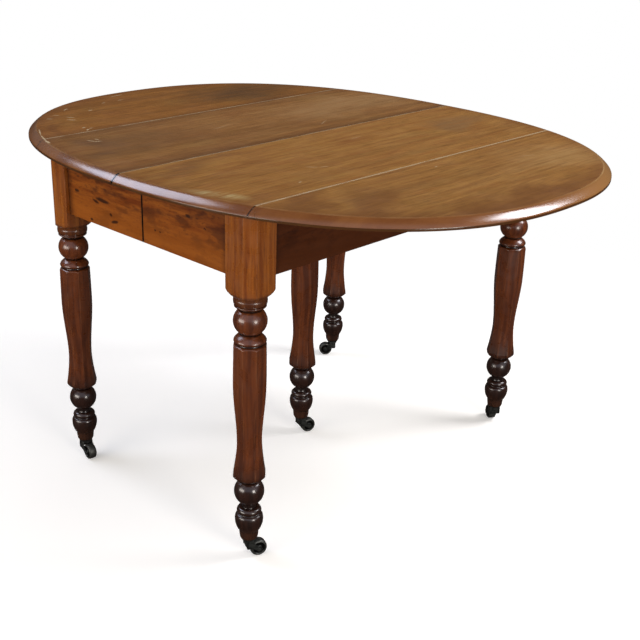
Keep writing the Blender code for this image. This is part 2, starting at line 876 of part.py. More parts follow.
def add_half(side, turn):
    """One half of the table, with its leaf, lopers, slide rails, legs and casters."""
    half = empty(f"half_{side}", (0.0, 0.0, 0.0), turn)
    hinge = empty(f"leaf_axis_{side}", (0.0, joint_y, axis_z), 0.0, half)
    place(f"board_{side}", board_mesh, top_look, half)
    place(f"leaf_{side}", leaf_mesh, top_look, hinge)
    place(f"apron_side_{side}", side_apron_mesh, frame_look, half)
    for hand in (-1, 1):
        corner = f"{side}_left" if hand * cos(turn) < 0 else f"{side}_right"
        at = (hand * leg_x, leg_y, 0.0)
        place(f"leg_{corner}", corner_leg_mesh, leg_look, half, at, pi / 4 - hand * pi / 4)
        add_caster(corner, half, at, radians(caster_turns[corner]) - turn)
        outwards = hand * (leg_x + apron_middle)
        place(f"apron_end_{corner}", end_apron_mesh, frame_look, half, (outwards, 0.0, 0.0))
        place(f"rail_{corner}", half_rail_mesh, bare_look, half, (hand * rail_x, 0.0, 0.0))
        place(f"loper_{corner}", loper_mesh, bare_look, half, (hand * loper_x, 0.0, 0.0))
        place(f"keeper_{corner}", keeper_mesh, bare_look, half, (hand * loper_x, 0.0, 0.0))
        place(f"hinge_board_plate_{corner}", board_plate_mesh, brass_look, half, (hand * hinge_x, 0.0, 0.0))
        place(f"hinge_leaf_plate_{corner}", leaf_plate_mesh, brass_look, hinge, (hand * hinge_x, 0.0, 0.0))
    return half


back_half = add_half("back", 0.0)
add_half("front", pi)
for number, x in enumerate((-peg_spacing, 0.0, peg_spacing), 1):
    place(f"peg_{number}", peg_mesh, bare_look, back_half, (x, 0.0, under + board_thick / 2))

centre = empty("centre", (0.0, 0.0, 0.0))
leg_place = (centre_leg_x, centre_leg_y, 0.0)
place("leg_centre", centre_leg(), leg_look, centre, leg_place)
place("bearer", cross_bearer(), bare_look, centre)
place("rail_centre_left", centre_rail_mesh, bare_look, centre, (-rail_x, 0.0, 0.0))
place("rail_centre_right", centre_rail_mesh, bare_look, centre, (rail_x, 0.0, 0.0))
add_caster("centre", centre, leg_place, radians(caster_turns["centre"]))

bpy.data.collections.remove(bench)
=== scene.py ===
"""An extending drop-leaf dining table in old polished walnut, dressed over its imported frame.

X runs along the seams of the top, Y across them and Z up from the floor, all in metres.
"""
from math import asin, atan2, copysign, cos, degrees, hypot, log, pi, radians, sin

import bmesh
import bpy
from mathutils import Matrix, Vector


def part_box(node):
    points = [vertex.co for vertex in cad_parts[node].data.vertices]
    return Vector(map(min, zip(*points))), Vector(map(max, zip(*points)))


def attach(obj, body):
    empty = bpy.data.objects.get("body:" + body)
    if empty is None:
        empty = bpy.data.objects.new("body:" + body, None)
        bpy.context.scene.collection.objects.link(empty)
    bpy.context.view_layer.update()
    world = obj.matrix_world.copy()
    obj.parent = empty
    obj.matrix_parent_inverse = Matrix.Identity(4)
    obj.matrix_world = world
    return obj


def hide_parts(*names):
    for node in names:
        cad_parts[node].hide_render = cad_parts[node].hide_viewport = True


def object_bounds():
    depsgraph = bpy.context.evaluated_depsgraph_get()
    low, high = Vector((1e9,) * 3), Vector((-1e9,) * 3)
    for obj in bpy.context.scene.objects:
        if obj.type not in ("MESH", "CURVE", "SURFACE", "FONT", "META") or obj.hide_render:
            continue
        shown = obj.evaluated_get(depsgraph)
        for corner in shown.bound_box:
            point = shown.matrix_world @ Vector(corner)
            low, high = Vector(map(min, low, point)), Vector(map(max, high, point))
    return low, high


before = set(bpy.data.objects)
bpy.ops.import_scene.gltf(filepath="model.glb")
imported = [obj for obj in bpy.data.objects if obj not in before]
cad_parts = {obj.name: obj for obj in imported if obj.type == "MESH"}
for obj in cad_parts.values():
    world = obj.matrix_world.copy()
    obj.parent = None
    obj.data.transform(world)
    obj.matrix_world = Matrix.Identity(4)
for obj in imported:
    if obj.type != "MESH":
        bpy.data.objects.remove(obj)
cad_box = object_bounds()

# Legs. Four corner legs and a fifth under the middle, each turned from one blank of walnut and then
# planed to eight sides along the shaft, which leaves scallops in the ring above it. The block at
# the top is mortised for the aprons, and the foot is bored for a caster's stem.
mm = 0.001
leg_corners = ("front_left", "front_right", "back_left", "back_right")
block_half = 32.0
block_chamfer = 17.5  # on the corner that faces out, along each side
block_corner = 46.0  # to the other corners, which are sharp
leg_turnings = (
    # heights of the two ends, radius at each, swell between, its thickest point, fullness, rings
    (576.0, 559.4, 46.2, 33.4, 4.3, 0.55, 0.50, 14),  # shoulder that rounds off the block
    (559.1, 552.4, 32.0, 31.0, -0.5, 0.40, 0.80, 5),  # cove under the block
    (552.2, 543.4, 31.1, 30.6, 0.6, 0.45, 0.60, 6),  # collar
    (543.1, 541.0, 27.2, 27.2, -0.6, 0.50, 0.60, 3),  # groove
    (540.7, 536.8, 28.4, 28.0, 1.7, 0.50, 0.55, 6),  # bead
    (536.6, 532.2, 25.5, 17.4, -1.8, 0.50, 0.80, 5),  # cove under the bead
    (531.8, 485.2, 17.4, 16.9, 14.6, 0.50, 0.66, 20),  # ball
    (484.8, 468.4, 16.9, 29.8, 4.4, 0.55, 0.80, 10),  # cushion
    (468.0, 464.0, 25.6, 25.6, -0.5, 0.50, 0.60, 4),  # groove
    (463.6, 456.6, 27.4, 33.5, 1.8, 0.50, 0.75, 14),  # ring, scalloped by the flats
    (456.2, 193.0, 33.7, 35.0, 4.0, 0.50, 0.60, 48),  # rough shaft, outside the eight flats
    (192.3, 175.0, 34.4, 15.4, 4.6, 0.50, 0.75, 12),  # rounded end of the flared foot of the shaft
    (174.6, 124.8, 15.2, 12.5, 15.7, 0.50, 0.66, 20),  # lower ball
    (124.4, 116.0, 12.3, 13.4, -0.6, 0.50, 0.80, 5),  # neck
    (115.6, 104.2, 18.6, 21.2, 4.2, 0.50, 0.60, 9),  # small ring
    (103.8, 101.9, 21.2, 21.6, -0.5, 0.50, 0.60, 3),  # notch
    (101.5, 64.2, 22.2, 19.3, 6.8, 0.40, 0.68, 18),  # bulb
    (63.8, 47.8, 19.2, 17.7, 0.3, 0.50, 1.00, 8),  # stub
    (47.4, 44.6, 17.5, 15.6, 0.5, 0.50, 0.80, 4),  # rounded end over the caster
)
# heights of the shoulder, the cove, the ring and the rounded end of the shaft, from the rows above
block_foot, cove_foot = leg_turnings[0][1], leg_turnings[1][1]
ring_top, ring_foot = leg_turnings[9][:2]
shaft_end = leg_turnings[11][1]
shaft_top, shaft_foot = 456.0, 192.6  # the flats run out in the ring above the first
shaft_swell, shaft_waist = 388.0, 260.0
flat_top, flat_swell, flat_waist, flat_foot = 30.3, 31.1, 23.7, 31.0  # half the width across flats
flare_power = 1.6
scallop_slope = 0.04
scallop_edge = 0.9  # width along the edge of a scallop that is painted paler, partly rubbed wood and partly a painted highlight
open_radius = 60.0  # where nothing is planed off
leg_steps = 64
arris_sharpness = 130.0  # power of the soft minimum that rounds every arris a little
arris_span = 2.6  # degrees to each side of an arris that the pale wear and painted highlight reach
hollow_span = 9.0  # heights that are compared to find the hollows, which get painted shade
hollow_depth = 5.0  # depth at which a hollow takes its full painted shade


def turned_rings(rows):
    """Height and radius of the rings of a turning, closest together at the ends of each element."""
    rings = []
    for high, low, start, end, swell, peak, fullness, count in rows:
        for i in range(count + 1):
            part = (1 - cos(pi * i / count)) / 2
            skewed = part ** (log(0.5) / log(peak))
            bulge = swell * max(0.0, 1 - (2 * skewed - 1) ** 2) ** fullness
            rings.append((high + (low - high) * part, start + (end - start) * part + bulge))
    return rings


def shaft_flat(height):
    """Half the width across the flats: scallops above, a slow swell, a taper and a flared foot."""
    if height > shaft_top:
        return flat_top + scallop_slope * (height - shaft_top)
    if height > shaft_swell:
        part = (shaft_top - height) / (shaft_top - shaft_swell)
        return flat_top + (flat_swell - flat_top) * sin(part * pi / 2)
    if height > shaft_waist:
        part = (shaft_swell - height) / (shaft_swell - shaft_waist)
        return flat_swell + (flat_waist - flat_swell) * (1 - cos(pi * part)) / 2
    part = min(1.0, (shaft_waist - height) / (shaft_waist - shaft_foot))
    return flat_waist + (flat_foot - flat_waist) * part**flare_power


def leg_planes(height, chamfer):
    """Distances of the eight planes that cut the turned blank at a height, every 45 degrees from +X."""
    if height > block_foot:
        corner = (2 * block_half - chamfer) / 2**0.5
        return [block_half, corner, block_half, block_corner] + [block_half, block_corner] * 2
    if height > ring_top or height < shaft_end:
        return [open_radius] * 8
    return [shaft_flat(height)] * 8


def closed_mesh(mesh, shape, sharp):
    """Fills a mesh from a closed shape, smooth between faces that meet at less than an angle."""
    bmesh.ops.recalc_face_normals(shape, faces=shape.faces)
    shape.to_mesh(mesh)
    shape.free()
    mesh.shade_smooth()
    mesh.set_sharp_from_angle(angle=radians(sharp))
    return mesh


def leg_mesh(name, top, chamfer):
    """A whole leg as rings of points, with its hollows marked for painted shade and its arrises for
    paler wood and a painted highlight.
    """
    shaft_arrises = [22.5 + 45 * i for i in range(8)]
    block_arrises = [45.0 * i for i in (1, 3, 5, 7)]
    if chamfer:
        edge = degrees(asin((block_half - chamfer) / hypot(block_half, block_half - chamfer)))
        block_arrises += [edge, 90 - edge]
    turns = {round(360 * i / leg_steps, 3) for i in range(leg_steps)}
    for arris in shaft_arrises + block_arrises:
        turns |= {round((arris + arris_span * step) % 360, 3) for step in (-1, -0.5, 0, 0.5, 1)}
    turns = sorted(turns)
    rings = turned_rings(leg_turnings)
    shoulder_top, blank = rings[0]
    rings = [(height, blank) for height in (top, top - 0.6, 600.0, shoulder_top + 2.0)] + rings
    shape = bmesh.new()
    hollow = shape.verts.layers.float.new("hollow")
    arris_mark = shape.verts.layers.float.new("arris")
    before = None
    for height, radius in rings:
        near = [r for z, r in rings if abs(z - height) < hollow_span]
        depth = (sum(near) / len(near) - radius) / hollow_depth
        planes = leg_planes(height, chamfer)
        planed = planes[0] < open_radius
        arrises = block_arrises if height > block_foot else shaft_arrises
        ring = []
        for turn in turns:
            angle = radians(turn)
            facing = [cos(angle - i * pi / 4) for i in range(8)]
            cuts = [plane / face for plane, face in zip(planes, facing) if face > 0.2]
            reach = sum(cut**-arris_sharpness for cut in [radius, *cuts]) ** (-1 / arris_sharpness)
            point = shape.verts.new((reach * mm * cos(angle), reach * mm * sin(angle), height * mm))
            if planed:
                off = min(abs((turn - arris + 180) % 360 - 180) for arris in arrises)
                point[arris_mark] = max(0.0, 1 - off / arris_span) / 2
            elif height < cove_foot:
                point[hollow] = min(1.0, max(0.0, depth))
            if ring_foot <= height <= ring_top:
                point[arris_mark] = max(0.0, 1 - abs(min(cuts) - radius) / scallop_edge)
            ring.append(point)
        if before:
            for i, point in enumerate(ring):
                shape.faces.new((before[i - 1], ring[i - 1], point, before[i]))
        else:
            shape.faces.new(ring)
        before = ring
    shape.faces.new(before[::-1])
    return closed_mesh(bpy.data.meshes.new(name), shape, 55)


def linear(code):
    """A colour written as sRGB hex, as linear light."""
    values = [int(code[i : i + 2], 16) / 255 for i in (1, 3, 5)]
    return (*(v / 12.92 if v <= 0.04045 else ((v + 0.055) / 1.055) ** 2.4 for v in values), 1.0)


def feed(node, inputs):
    """Sets a node's inputs, or links them to a socket, or to the first that a node gives."""
    for key, value in inputs.items():
        if isinstance(value, bpy.types.Node):
            value = value.outputs[0]
        if isinstance(value, bpy.types.NodeSocket):
            node.id_data.links.new(value, node.inputs[key])
        else:
            node.inputs[key].default_value = value


def add_node(tree, kind, inputs=None, **settings):
    """Adds a shader node with its settings, and sets or links its inputs."""
    node = tree.nodes.new("ShaderNode" + kind)
    for name, value in settings.items():
        setattr(node, name, value)
    feed(node, inputs or {})
    return node


def new_material(name):
    """An empty material, with its node tree, its shader and where a point of its piece is."""
    material = bpy.data.materials.new(name)
    material.use_nodes = True
    tree = material.node_tree
    tree.nodes.clear()
    shader = add_node(tree, "BsdfPrincipled")
    add_node(tree, "OutputMaterial", {"Surface": shader})
    return material, tree, shader, add_node(tree, "TexCoord").outputs["Object"]


def grain(tree, where, along, seed, sizes, chance=False, wander=(180, 22)):
    """Noise drawn out along the grain, one layer for each (length, width, detail) in millimetres. The
    grain wanders aside over a length by up to a reach, and by chance differs from piece to piece."""
    if chance:
        random = add_node(tree, "ObjectInfo").outputs["Random"]
        shift = add_node(tree, "VectorMath", {0: (3.1, 5.7, 7.3), 3: random}, operation="SCALE")
        where = add_node(tree, "VectorMath", {0: where, 1: shift}, operation="ADD")
    drift = add_node(tree, "TexNoise", {"Vector": where, "Scale": 1 / (wander[0] * mm), "Detail": 1.0})
    aside = {0: drift.outputs["Color"], 3: wander[1] * mm}
    bend = add_node(tree, "VectorMath", aside, operation="SCALE")
    where = add_node(tree, "VectorMath", {0: where, 1: bend}, operation="ADD")
    layers = []
    for length, width, detail in sizes:
        scale = [1 / (width * mm)] * 3
        scale[along] = 1 / (length * mm)
        drawn = add_node(tree, "Mapping", {"Vector": where, "Location": seed, "Scale": scale})
        look = {"Vector": drawn, "Scale": 1.0, "Detail": detail, "Roughness": 0.6}
        layers.append(add_node(tree, "TexNoise", look))
    return layers


def mask(tree, *limits, share=1.0):
    """Where something shows: the product of masks and of values eased between two limits, (value, low,
    high), or to a range of their own if two more are given. The first is eased up to the share."""
    whole = None
    for limit in limits:
        if isinstance(limit, tuple):
            value, low, high, start, end = (*limit, 0.0, 1.0)[:5]
            inputs = {"Value": value, "From Min": low, "From Max": high, "To Min": start}
            inputs["To Max"] = end if whole else end * share
            limit = add_node(tree, "MapRange", inputs, interpolation_type="SMOOTHSTEP")
        if whole:
            limit = add_node(tree, "Math", {0: whole, 1: limit}, operation="MULTIPLY")
        whole = limit
    return whole


def laid(tree, base, over, *limits, share=1.0):
    """One colour laid over another where a mask shows it."""
    base, over = (linear(c) if isinstance(c, str) else c for c in (base, over))
    inputs = {0: mask(tree, *limits, share=share), 6: base, 7: over}
    return add_node(tree, "Mix", inputs, data_type="RGBA").outputs[2]


def set_looks(shader, colour, rough, relief, others=None):
    """Gives a shader its colour, its roughness, a relief, (height, strength, depth in millimetres), and
    any other inputs."""
    height, strength, depth = relief
    inputs = {"Strength": strength, "Distance": depth * mm, "Height": height}
    bump = add_node(shader.id_data, "Bump", inputs)
    feed(shader, {"Base Color": colour, "Roughness": rough, "Normal": bump, **(others or {})})


# Turned walnut under old French polish: an orange-brown block, a redder shaft and a foot that is nearly
# black, glossy on the swells, with painted shade in the grooves, painted shade and some grime in the
# necks, and arrises painted paler, partly rubbed wood and partly a painted highlight.
turned_walnut, tree, shader, where = new_material("turned_walnut_french_polish")
walnut_tones = (
    # stub, foot, shaft and block, where the figure is dark and where it is pale
    ("#2C160D", "#20110C", "#4F240F", "#7A3C0D"),
    ("#442717", "#301B13", "#6E3717", "#9C581A"),
)
shaded_grimy_necks, neck_fade = ((0.532, 0.566), (0.460, 0.474)), 6 * mm
layers = ((260, 9, 3), (80, 2.6, 3), (18, 1.3, 1))
streak, line, pore = grain(tree, where, 2, (1.0, 2.0, 3.0), layers, chance=True)
height = add_node(tree, "SeparateXYZ", {0: where}).outputs["Z"]
tones = []
for stub_tone, foot_tone, shaft_tone, block_tone in walnut_tones:
    tone = laid(tree, stub_tone, foot_tone, (height, 0.055, 0.085))
    tone = laid(tree, tone, shaft_tone, (height, 0.160, 0.240))
    tones.append(laid(tree, tone, block_tone, (height, 0.52, 0.58)))
colour = laid(tree, *tones, (streak, 0.32, 0.68))
colour = laid(tree, colour, "#34160A", (line, 0.46, 0.74), share=0.38)
colour = laid(tree, colour, "#200F08", (pore, 0.60, 0.76), share=0.3)
# painted shade in the hollows of the turning
hollow = add_node(tree, "Attribute", attribute_name="hollow").outputs["Fac"]
colour = laid(tree, colour, "#170B07", (hollow, 0.05, 0.55), share=0.85)
# painted shade, with some grime, in the necks under the block and under the cushion
for low, high in shaded_grimy_necks:
    neck = mask(tree, (height, low, low + neck_fade), (height, high, high - neck_fade))
    colour = laid(tree, colour, "#24110A", (neck, 0.0, 1.0), share=0.5)
# paler arrises and scallop edges: partly rubbed wood, partly a painted highlight
arris = add_node(tree, "Attribute", attribute_name="arris").outputs["Fac"]
rub = add_node(tree, "TexNoise", {"Vector": where, "Scale": 1 / (35 * mm), "Detail": 3.0})
colour = laid(tree, colour, "#965F34", (rub, 0.40, 0.62), arris, share=0.6)
dull = add_node(tree, "TexNoise", {"Vector": where, "Scale": 1 / (26 * mm), "Detail": 2.0})
rough = mask(tree, (dull, 0.3, 0.7, 0.24, 0.38))
set_looks(shader, colour, rough, (line, 0.15, 0.3), {"Coat Weight": 0.6, "Coat Roughness": 0.16})


def put(name, data):
    """A new object in the scene."""
    thing = bpy.data.objects.new(name, data)
    bpy.context.scene.collection.objects.link(thing)
    return thing


def show(name, mesh, material, body, at=(0.0, 0.0, 0.0), turn=0.0):
    """Puts a mesh in the scene as a piece that moves with a body."""
    piece = put(name, mesh)
    piece.location = at
    piece.rotation_euler = (0.0, 0.0, turn)
    mesh.materials.clear()
    mesh.materials.append(material)
    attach(piece, body)
    return piece


def middle_of(node):
    """Where the middle of a CAD node is, in X and Y."""
    low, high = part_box(node)
    return (low[0] + high[0]) / 2, (low[1] + high[1]) / 2


bearer_gap = 0.3  # between the middle leg and the bearer on it
corner_leg = leg_mesh("corner_leg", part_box("leg_front_left")[1][2] / mm, block_chamfer)
middle_leg = leg_mesh("middle_leg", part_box("bearer")[0][2] / mm - bearer_gap, 0.0)
quarter_turns = {"back_right": 0, "back_left": 1, "front_left": 2, "front_right": 3, "centre": 0}
carriers = {corner: f"half_{corner.split('_')[0]}" for corner in leg_corners}
carriers["centre"] = "centre"
leg_axes = {}
for foot, carrier in carriers.items():
    leg_axes[foot] = middle_of(f"leg_{foot}")
    mesh = middle_leg if foot == "centre" else corner_leg
    at, turn = (*leg_axes[foot], 0.0), quarter_turns[foot] * pi / 2
    leg = show(f"turned_leg_{foot}", mesh, turned_walnut, carrier, at, turn)
    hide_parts(f"leg_{foot}")

# Casters. A cast plate with its stem driven into each foot, a forked horn that swivels on the
# plate's rivet, and a dished wheel on an axle riveted through the horn. Iron, blackened and worn.
caster_steps = 40
wheel_radius = 17.5
wheel_side = (
    # distance from the axle and from the middle of the wheel, out along one side to the tread
    (3.0, 8.8), (5.0, 8.8), (5.6, 8.2), (6.6, 6.3), (11.8, 6.2), (12.9, 8.2), (13.7, 8.9), (15.3, 8.5),
    (16.6, 7.4), (17.3, 5.6),
)
wheel_hollow, wheel_rim = 6.6, 12.4
plate_top, plate_low, plate_radius = 44.2, 41.2, 14.8
hub_top, hub_low, hub_radius = 40.9, 34.9, 12.0
rivet_radius, rivet_head_radius, rivet_drop, rivet_hole = 2.7, 4.5, 2.5, 3.0
trail = 19.0
cheek_inner, cheek_outer = 10.2, 12.8
web_half, web_drop = 11.5, 0.4
boss_radius, boss_steps = 5.5, 20
axle_radius, axle_reach, axle_round = 2.5, 14.0, 0.9
pinhole = 0.4  # left along the axis of a turned shape
horn_arris = 0.5


def turned_shape(profile, steps):
    """Points and faces of a closed (radius, height) outline in millimetres, turned about Z."""
    points, faces = [], []
    count = len(profile)
    for i in range(steps):
        angle = 2 * pi * i / steps
        points += [(r * mm * cos(angle), r * mm * sin(angle), z * mm) for r, z in profile]
        after = (i + 1) % steps * count
        for j in range(count):
            k = (j + 1) % count
            faces.append((i * count + j, after + j, after + k, i * count + k))
    return points, faces


def stacked_faces(count, outlines=2):
    """Faces of a shape through outlines of as many points, one after another, with both ends closed."""
    last = (outlines - 1) * count
    faces = [tuple(range(count)), tuple(range(last + count - 1, last - 1, -1))]
    for start in range(0, last, count):
        for i in range(count):
            k = (i + 1) % count
            faces.append((start + i, start + k, start + count + k, start + count + i))
    return faces


def slab_shape(outline, low, high):
    """Points and faces of an outline in X and Z, given thickness along Y, in millimetres."""
    points = [(x * mm, y * mm, z * mm) for y in (low, high) for x, z in outline]
    return points, stacked_faces(len(outline))


def joined_mesh(name, shapes, sharp=40):
    """One mesh from closed shapes."""
    points, faces = [], []
    for shape_points, shape_faces in shapes:
        start = len(points)
        points += shape_points
        faces += [tuple(start + i for i in face) for face in shape_faces]
    mesh = bpy.data.meshes.new(name)
    mesh.from_pydata(points, [], faces)
    shape = bmesh.new()
    shape.from_mesh(mesh)
    return closed_mesh(mesh, shape, sharp)


def soften(piece, width, angle=40):
    """Rounds a piece's arrises by a width in millimetres."""
    bevel = piece.modifiers.new("worn_arris", "BEVEL")
    bevel.width = width * mm
    bevel.segments = 2
    bevel.limit_method = "ANGLE"
    bevel.angle_limit = radians(angle)
    bevel.harden_normals = True


def blackened_iron(name, hollow=0.0, rim=0.0):
    """Cast iron, near-black, grainy from the sand and browned by a little rust, rubbed to grey where it
    is touched. A wheel gets painted shade, near black, in the hollow of its side and a painted
    highlight, grey, on its rim, both given as distances from its axle in millimetres."""
    material, tree, shader, where = new_material(name)
    sand = add_node(tree, "TexNoise", {"Vector": where, "Scale": 1 / (1.6 * mm), "Detail": 2.0})
    patch = add_node(tree, "TexNoise", {"Vector": where, "Scale": 1 / (9 * mm), "Detail": 3.0})
    colour = laid(tree, "#272927", "#484A47", (patch, 0.35, 0.65))
    colour = laid(tree, colour, "#44301F", (patch, 0.60, 0.72), share=0.6)
    if rim:
        flat = add_node(tree, "VectorMath", {0: where, 1: (1.0, 0.0, 1.0)}, operation="MULTIPLY")
        out = add_node(tree, "VectorMath", {0: flat}, operation="LENGTH").outputs["Value"]
        past_hub, inside_rim = (out, (hollow - 1.0) * mm, hollow * mm), (out, rim * mm, (rim - 0.8) * mm)
        # painted shade in the hollow of the wheel's side, and a painted highlight on its rim
        colour = laid(tree, colour, "#0B0A09", past_hub, inside_rim)
        colour = laid(tree, colour, "#5A5B57", (out, rim * mm, (rim + 0.8) * mm), share=0.75)
    rough = mask(tree, (sand, 0.3, 0.7, 0.38, 0.56))
    set_looks(shader, colour, rough, (sand, 0.3, 0.3), {"Metallic": 0.7})
    return material


cast_iron = blackened_iron("cast_iron_blackened")
wheel_iron = blackened_iron("cast_iron_wheel_painted_light", wheel_hollow, wheel_rim)
wheel_profile = [*wheel_side, (wheel_radius, 0.0), *((r, -y) for r, y in reversed(wheel_side))]
wheel_mesh = joined_mesh("caster_wheel", [turned_shape(wheel_profile, caster_steps)], 50)
wheel_mesh.transform(Matrix.Rotation(-pi / 2, 4, "X"))
plate_profile = (
    (pinhole, plate_top), (plate_radius - 1.2, plate_top), (plate_radius, plate_top - 0.8),
    (plate_radius, plate_low + 0.6), (plate_radius - 0.8, plate_low), (rivet_radius, plate_low),
    (rivet_radius, hub_low - 0.3), (rivet_head_radius, hub_low - 0.4),
    (rivet_head_radius - 0.8, hub_low - 1.6), (2.0, hub_low - rivet_drop),
    (pinhole, hub_low - rivet_drop - 0.3),
)
plate_mesh = joined_mesh("caster_plate", [turned_shape(plate_profile, caster_steps)])
hub_profile = (
    (rivet_hole, hub_top), (hub_radius - 0.6, hub_top), (hub_radius, hub_top - 0.6),
    (hub_radius, hub_low + 0.6), (hub_radius - 0.6, hub_low), (rivet_hole, hub_low),
)
boss = []
for i in range(boss_steps + 1):
    angle = radians(70 - 205 * i / boss_steps)
    boss.append((trail + boss_radius * cos(angle), wheel_radius + boss_radius * sin(angle)))
cheek_outline = [(-6.6, 22.0), (-7.8, 23.8), (-8.0, 40.2), (-7.2, hub_top), (6.4, hub_top), (7.2, 38.8)]
cheek_outline += [(9.2, 32.4), (12.4, 27.4), (16.4, 24.4), *boss]
cheek_outline += [(12.0, 16.6), (6.5, 19.8), (0.5, 21.2), (-4.4, 21.4)]
web_top = hub_top - web_drop
web_outline = [(-7.5, 24.0), (-7.7, web_top), (-5.5, web_top), (-5.5, 21.9), (-6.5, 22.2)]
axle_profile = (
    (pinhole, axle_reach), (axle_radius - axle_round, axle_reach - 0.1),
    (axle_radius, axle_reach - axle_round), (axle_radius, axle_round - axle_reach),
    (axle_radius - axle_round, 0.1 - axle_reach), (pinhole, -axle_reach),
)
axle_points, axle_faces = turned_shape(axle_profile, caster_steps)
axle_points = [(x + trail * mm, z, wheel_radius * mm - y) for x, y, z in axle_points]
horn_mesh = joined_mesh("caster_horn", [
    turned_shape(hub_profile, caster_steps),
    (axle_points, axle_faces),
    slab_shape(cheek_outline, -cheek_outer, -cheek_inner),
    slab_shape(cheek_outline, cheek_inner, cheek_outer),
    slab_shape(web_outline, -web_half, web_half),
])
for foot, carrier in carriers.items():
    x, y = leg_axes[foot]
    wheel_x, wheel_y = middle_of(f"caster_wheel_{foot}")
    turn = atan2(wheel_y - y, wheel_x - x)
    plate = show(f"iron_plate_{foot}", plate_mesh, cast_iron, carrier, (x, y, 0.0))
    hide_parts(f"caster_plate_{foot}")
    horn = show(f"iron_horn_{foot}", horn_mesh, cast_iron, f"caster_{foot}", (x, y, 0.0), turn)
    soften(horn, horn_arris)
    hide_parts(f"caster_horn_{foot}")
    at = (wheel_x, wheel_y, wheel_radius * mm)
    wheel = show(f"iron_wheel_{foot}", wheel_mesh, wheel_iron, f"wheel_{foot}", at, turn)
    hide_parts(f"caster_wheel_{foot}")

# Aprons. Two long boards along the sides and four short ones at the ends, which part in the middle
# when the table opens, each tenoned into the leg blocks. Sawn walnut, polished outside only.
apron_arris = 1.0
end_reach, side_reach = 246, 390  # from the middle of an apron's line to the leg blocks
# width by each leg block that gets painted shade and grime, in millimetres
leg_shade_and_grime = 24


def by_axes(tree, where):
    """Where a point of a piece is, and the way that it faces, by axes."""
    coords = (where, where.node.outputs["Normal"])
    return [add_node(tree, "SeparateXYZ", {0: coord}).outputs for coord in coords]


def marks_mask(tree, where, axis, marks, core=0.4):
    """Soft-edged ovals on the plane across an axis, each (u, v, length, width, turn) in millimetres and
    degrees, full over a share of their width."""
    whole = 0.0
    for u, v, length, width, turn in marks:
        middle, size = [u * mm, v * mm], [length * mm / 2, width * mm / 2]
        flat, turns = [1.0, 1.0], [0.0, 0.0, 0.0]
        middle.insert(axis, 0.0)
        size.insert(axis, 1.0)
        flat.insert(axis, 0.0)
        turns[axis] = radians(turn)
        placed = {"Vector": where, "Location": middle, "Rotation": turns, "Scale": size}
        local = add_node(tree, "Mapping", placed, vector_type="TEXTURE")
        local = add_node(tree, "VectorMath", {0: local, 1: flat}, operation="MULTIPLY")
        far = add_node(tree, "VectorMath", {0: local}, operation="LENGTH").outputs["Value"]
        mark = mask(tree, (far, 1.0, core))
        whole = add_node(tree, "Math", {0: whole, 1: mark}, operation="MAXIMUM")
    return whole


def apron_walnut(name, along, out, seed, reach, dark, body, pale, marks=()):
    """Orange-brown polished walnut with dark blotched figure, paler towards its lower edge, with painted
    shadow under the top, painted shade and grime by the legs, which are at a reach from the middle,
    painted shadow in the split between the end aprons, and bare and dusty on its inner face.
    The marks are knots and dents on the end at -X."""
    material, tree, shader, where = new_material(name)
    sizes = ((150, 14, 4), (60, 4.5, 3), (11, 3.2, 2), (70, 30, 3))
    streak, line, pore, blotch = grain(tree, where, along, seed, sizes, chance=True)
    colour = laid(tree, body, pale, (streak, 0.30, 0.70))
    colour = laid(tree, colour, dark, (line, 0.44, 0.74), share=0.45)
    colour = laid(tree, colour, dark, (blotch, 0.48, 0.62), share=0.75)
    colour = laid(tree, colour, "#2A1208", (pore, 0.57, 0.68), share=0.55)
    place, normal = by_axes(tree, where)
    colour = laid(tree, colour, pale, (place["Z"], 0.680, 0.610), share=0.6)
    if marks:
        mark = mask(tree, marks_mask(tree, where, out, marks), (place["X"], 0.0, -0.1))
        colour = laid(tree, colour, "#220E05", (mark, 0.0, 1.0), share=0.85)
    # painted shade, with grime, beside the leg blocks, and painted shadow under the top
    by_leg = add_node(tree, "Math", {0: place[along]}, operation="ABSOLUTE")
    by_leg = mask(tree, (by_leg, (reach - leg_shade_and_grime) * mm, reach * mm), share=0.8)
    by_top = mask(tree, (place["Z"], 0.670, 0.718), share=0.65)
    shade_and_grime = add_node(tree, "Math", {0: by_leg, 1: by_top}, operation="MAXIMUM")
    colour = laid(tree, colour, "#2E1408", shade_and_grime)
    # painted shadow in the split where the two end aprons part
    split = add_node(tree, "Math", {0: place["Y"]}, operation="ABSOLUTE")
    colour = laid(tree, colour, "#0C0603", (split, 3.0 * mm, 1.8 * mm))
    facing = add_node(tree, "Math", {0: place[out], 1: normal[out]}, operation="MULTIPLY")
    colour = laid(tree, colour, "#6B4B2E", (facing, -0.05, -0.15))
    rough = mask(tree, (streak, 0.3, 0.7, 0.36, 0.50))
    polish = {"Specular IOR Level": 0.18, "Coat Weight": 0.04, "Coat Roughness": 0.25}
    set_looks(shader, colour, rough, (line, 0.2, 0.3), polish)
    return material


def dress(node, material, arris):
    """Gives a CAD node its material and softened arrises."""
    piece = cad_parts[node]
    piece.data.materials.clear()
    piece.data.materials.append(material)
    soften(piece, arris)


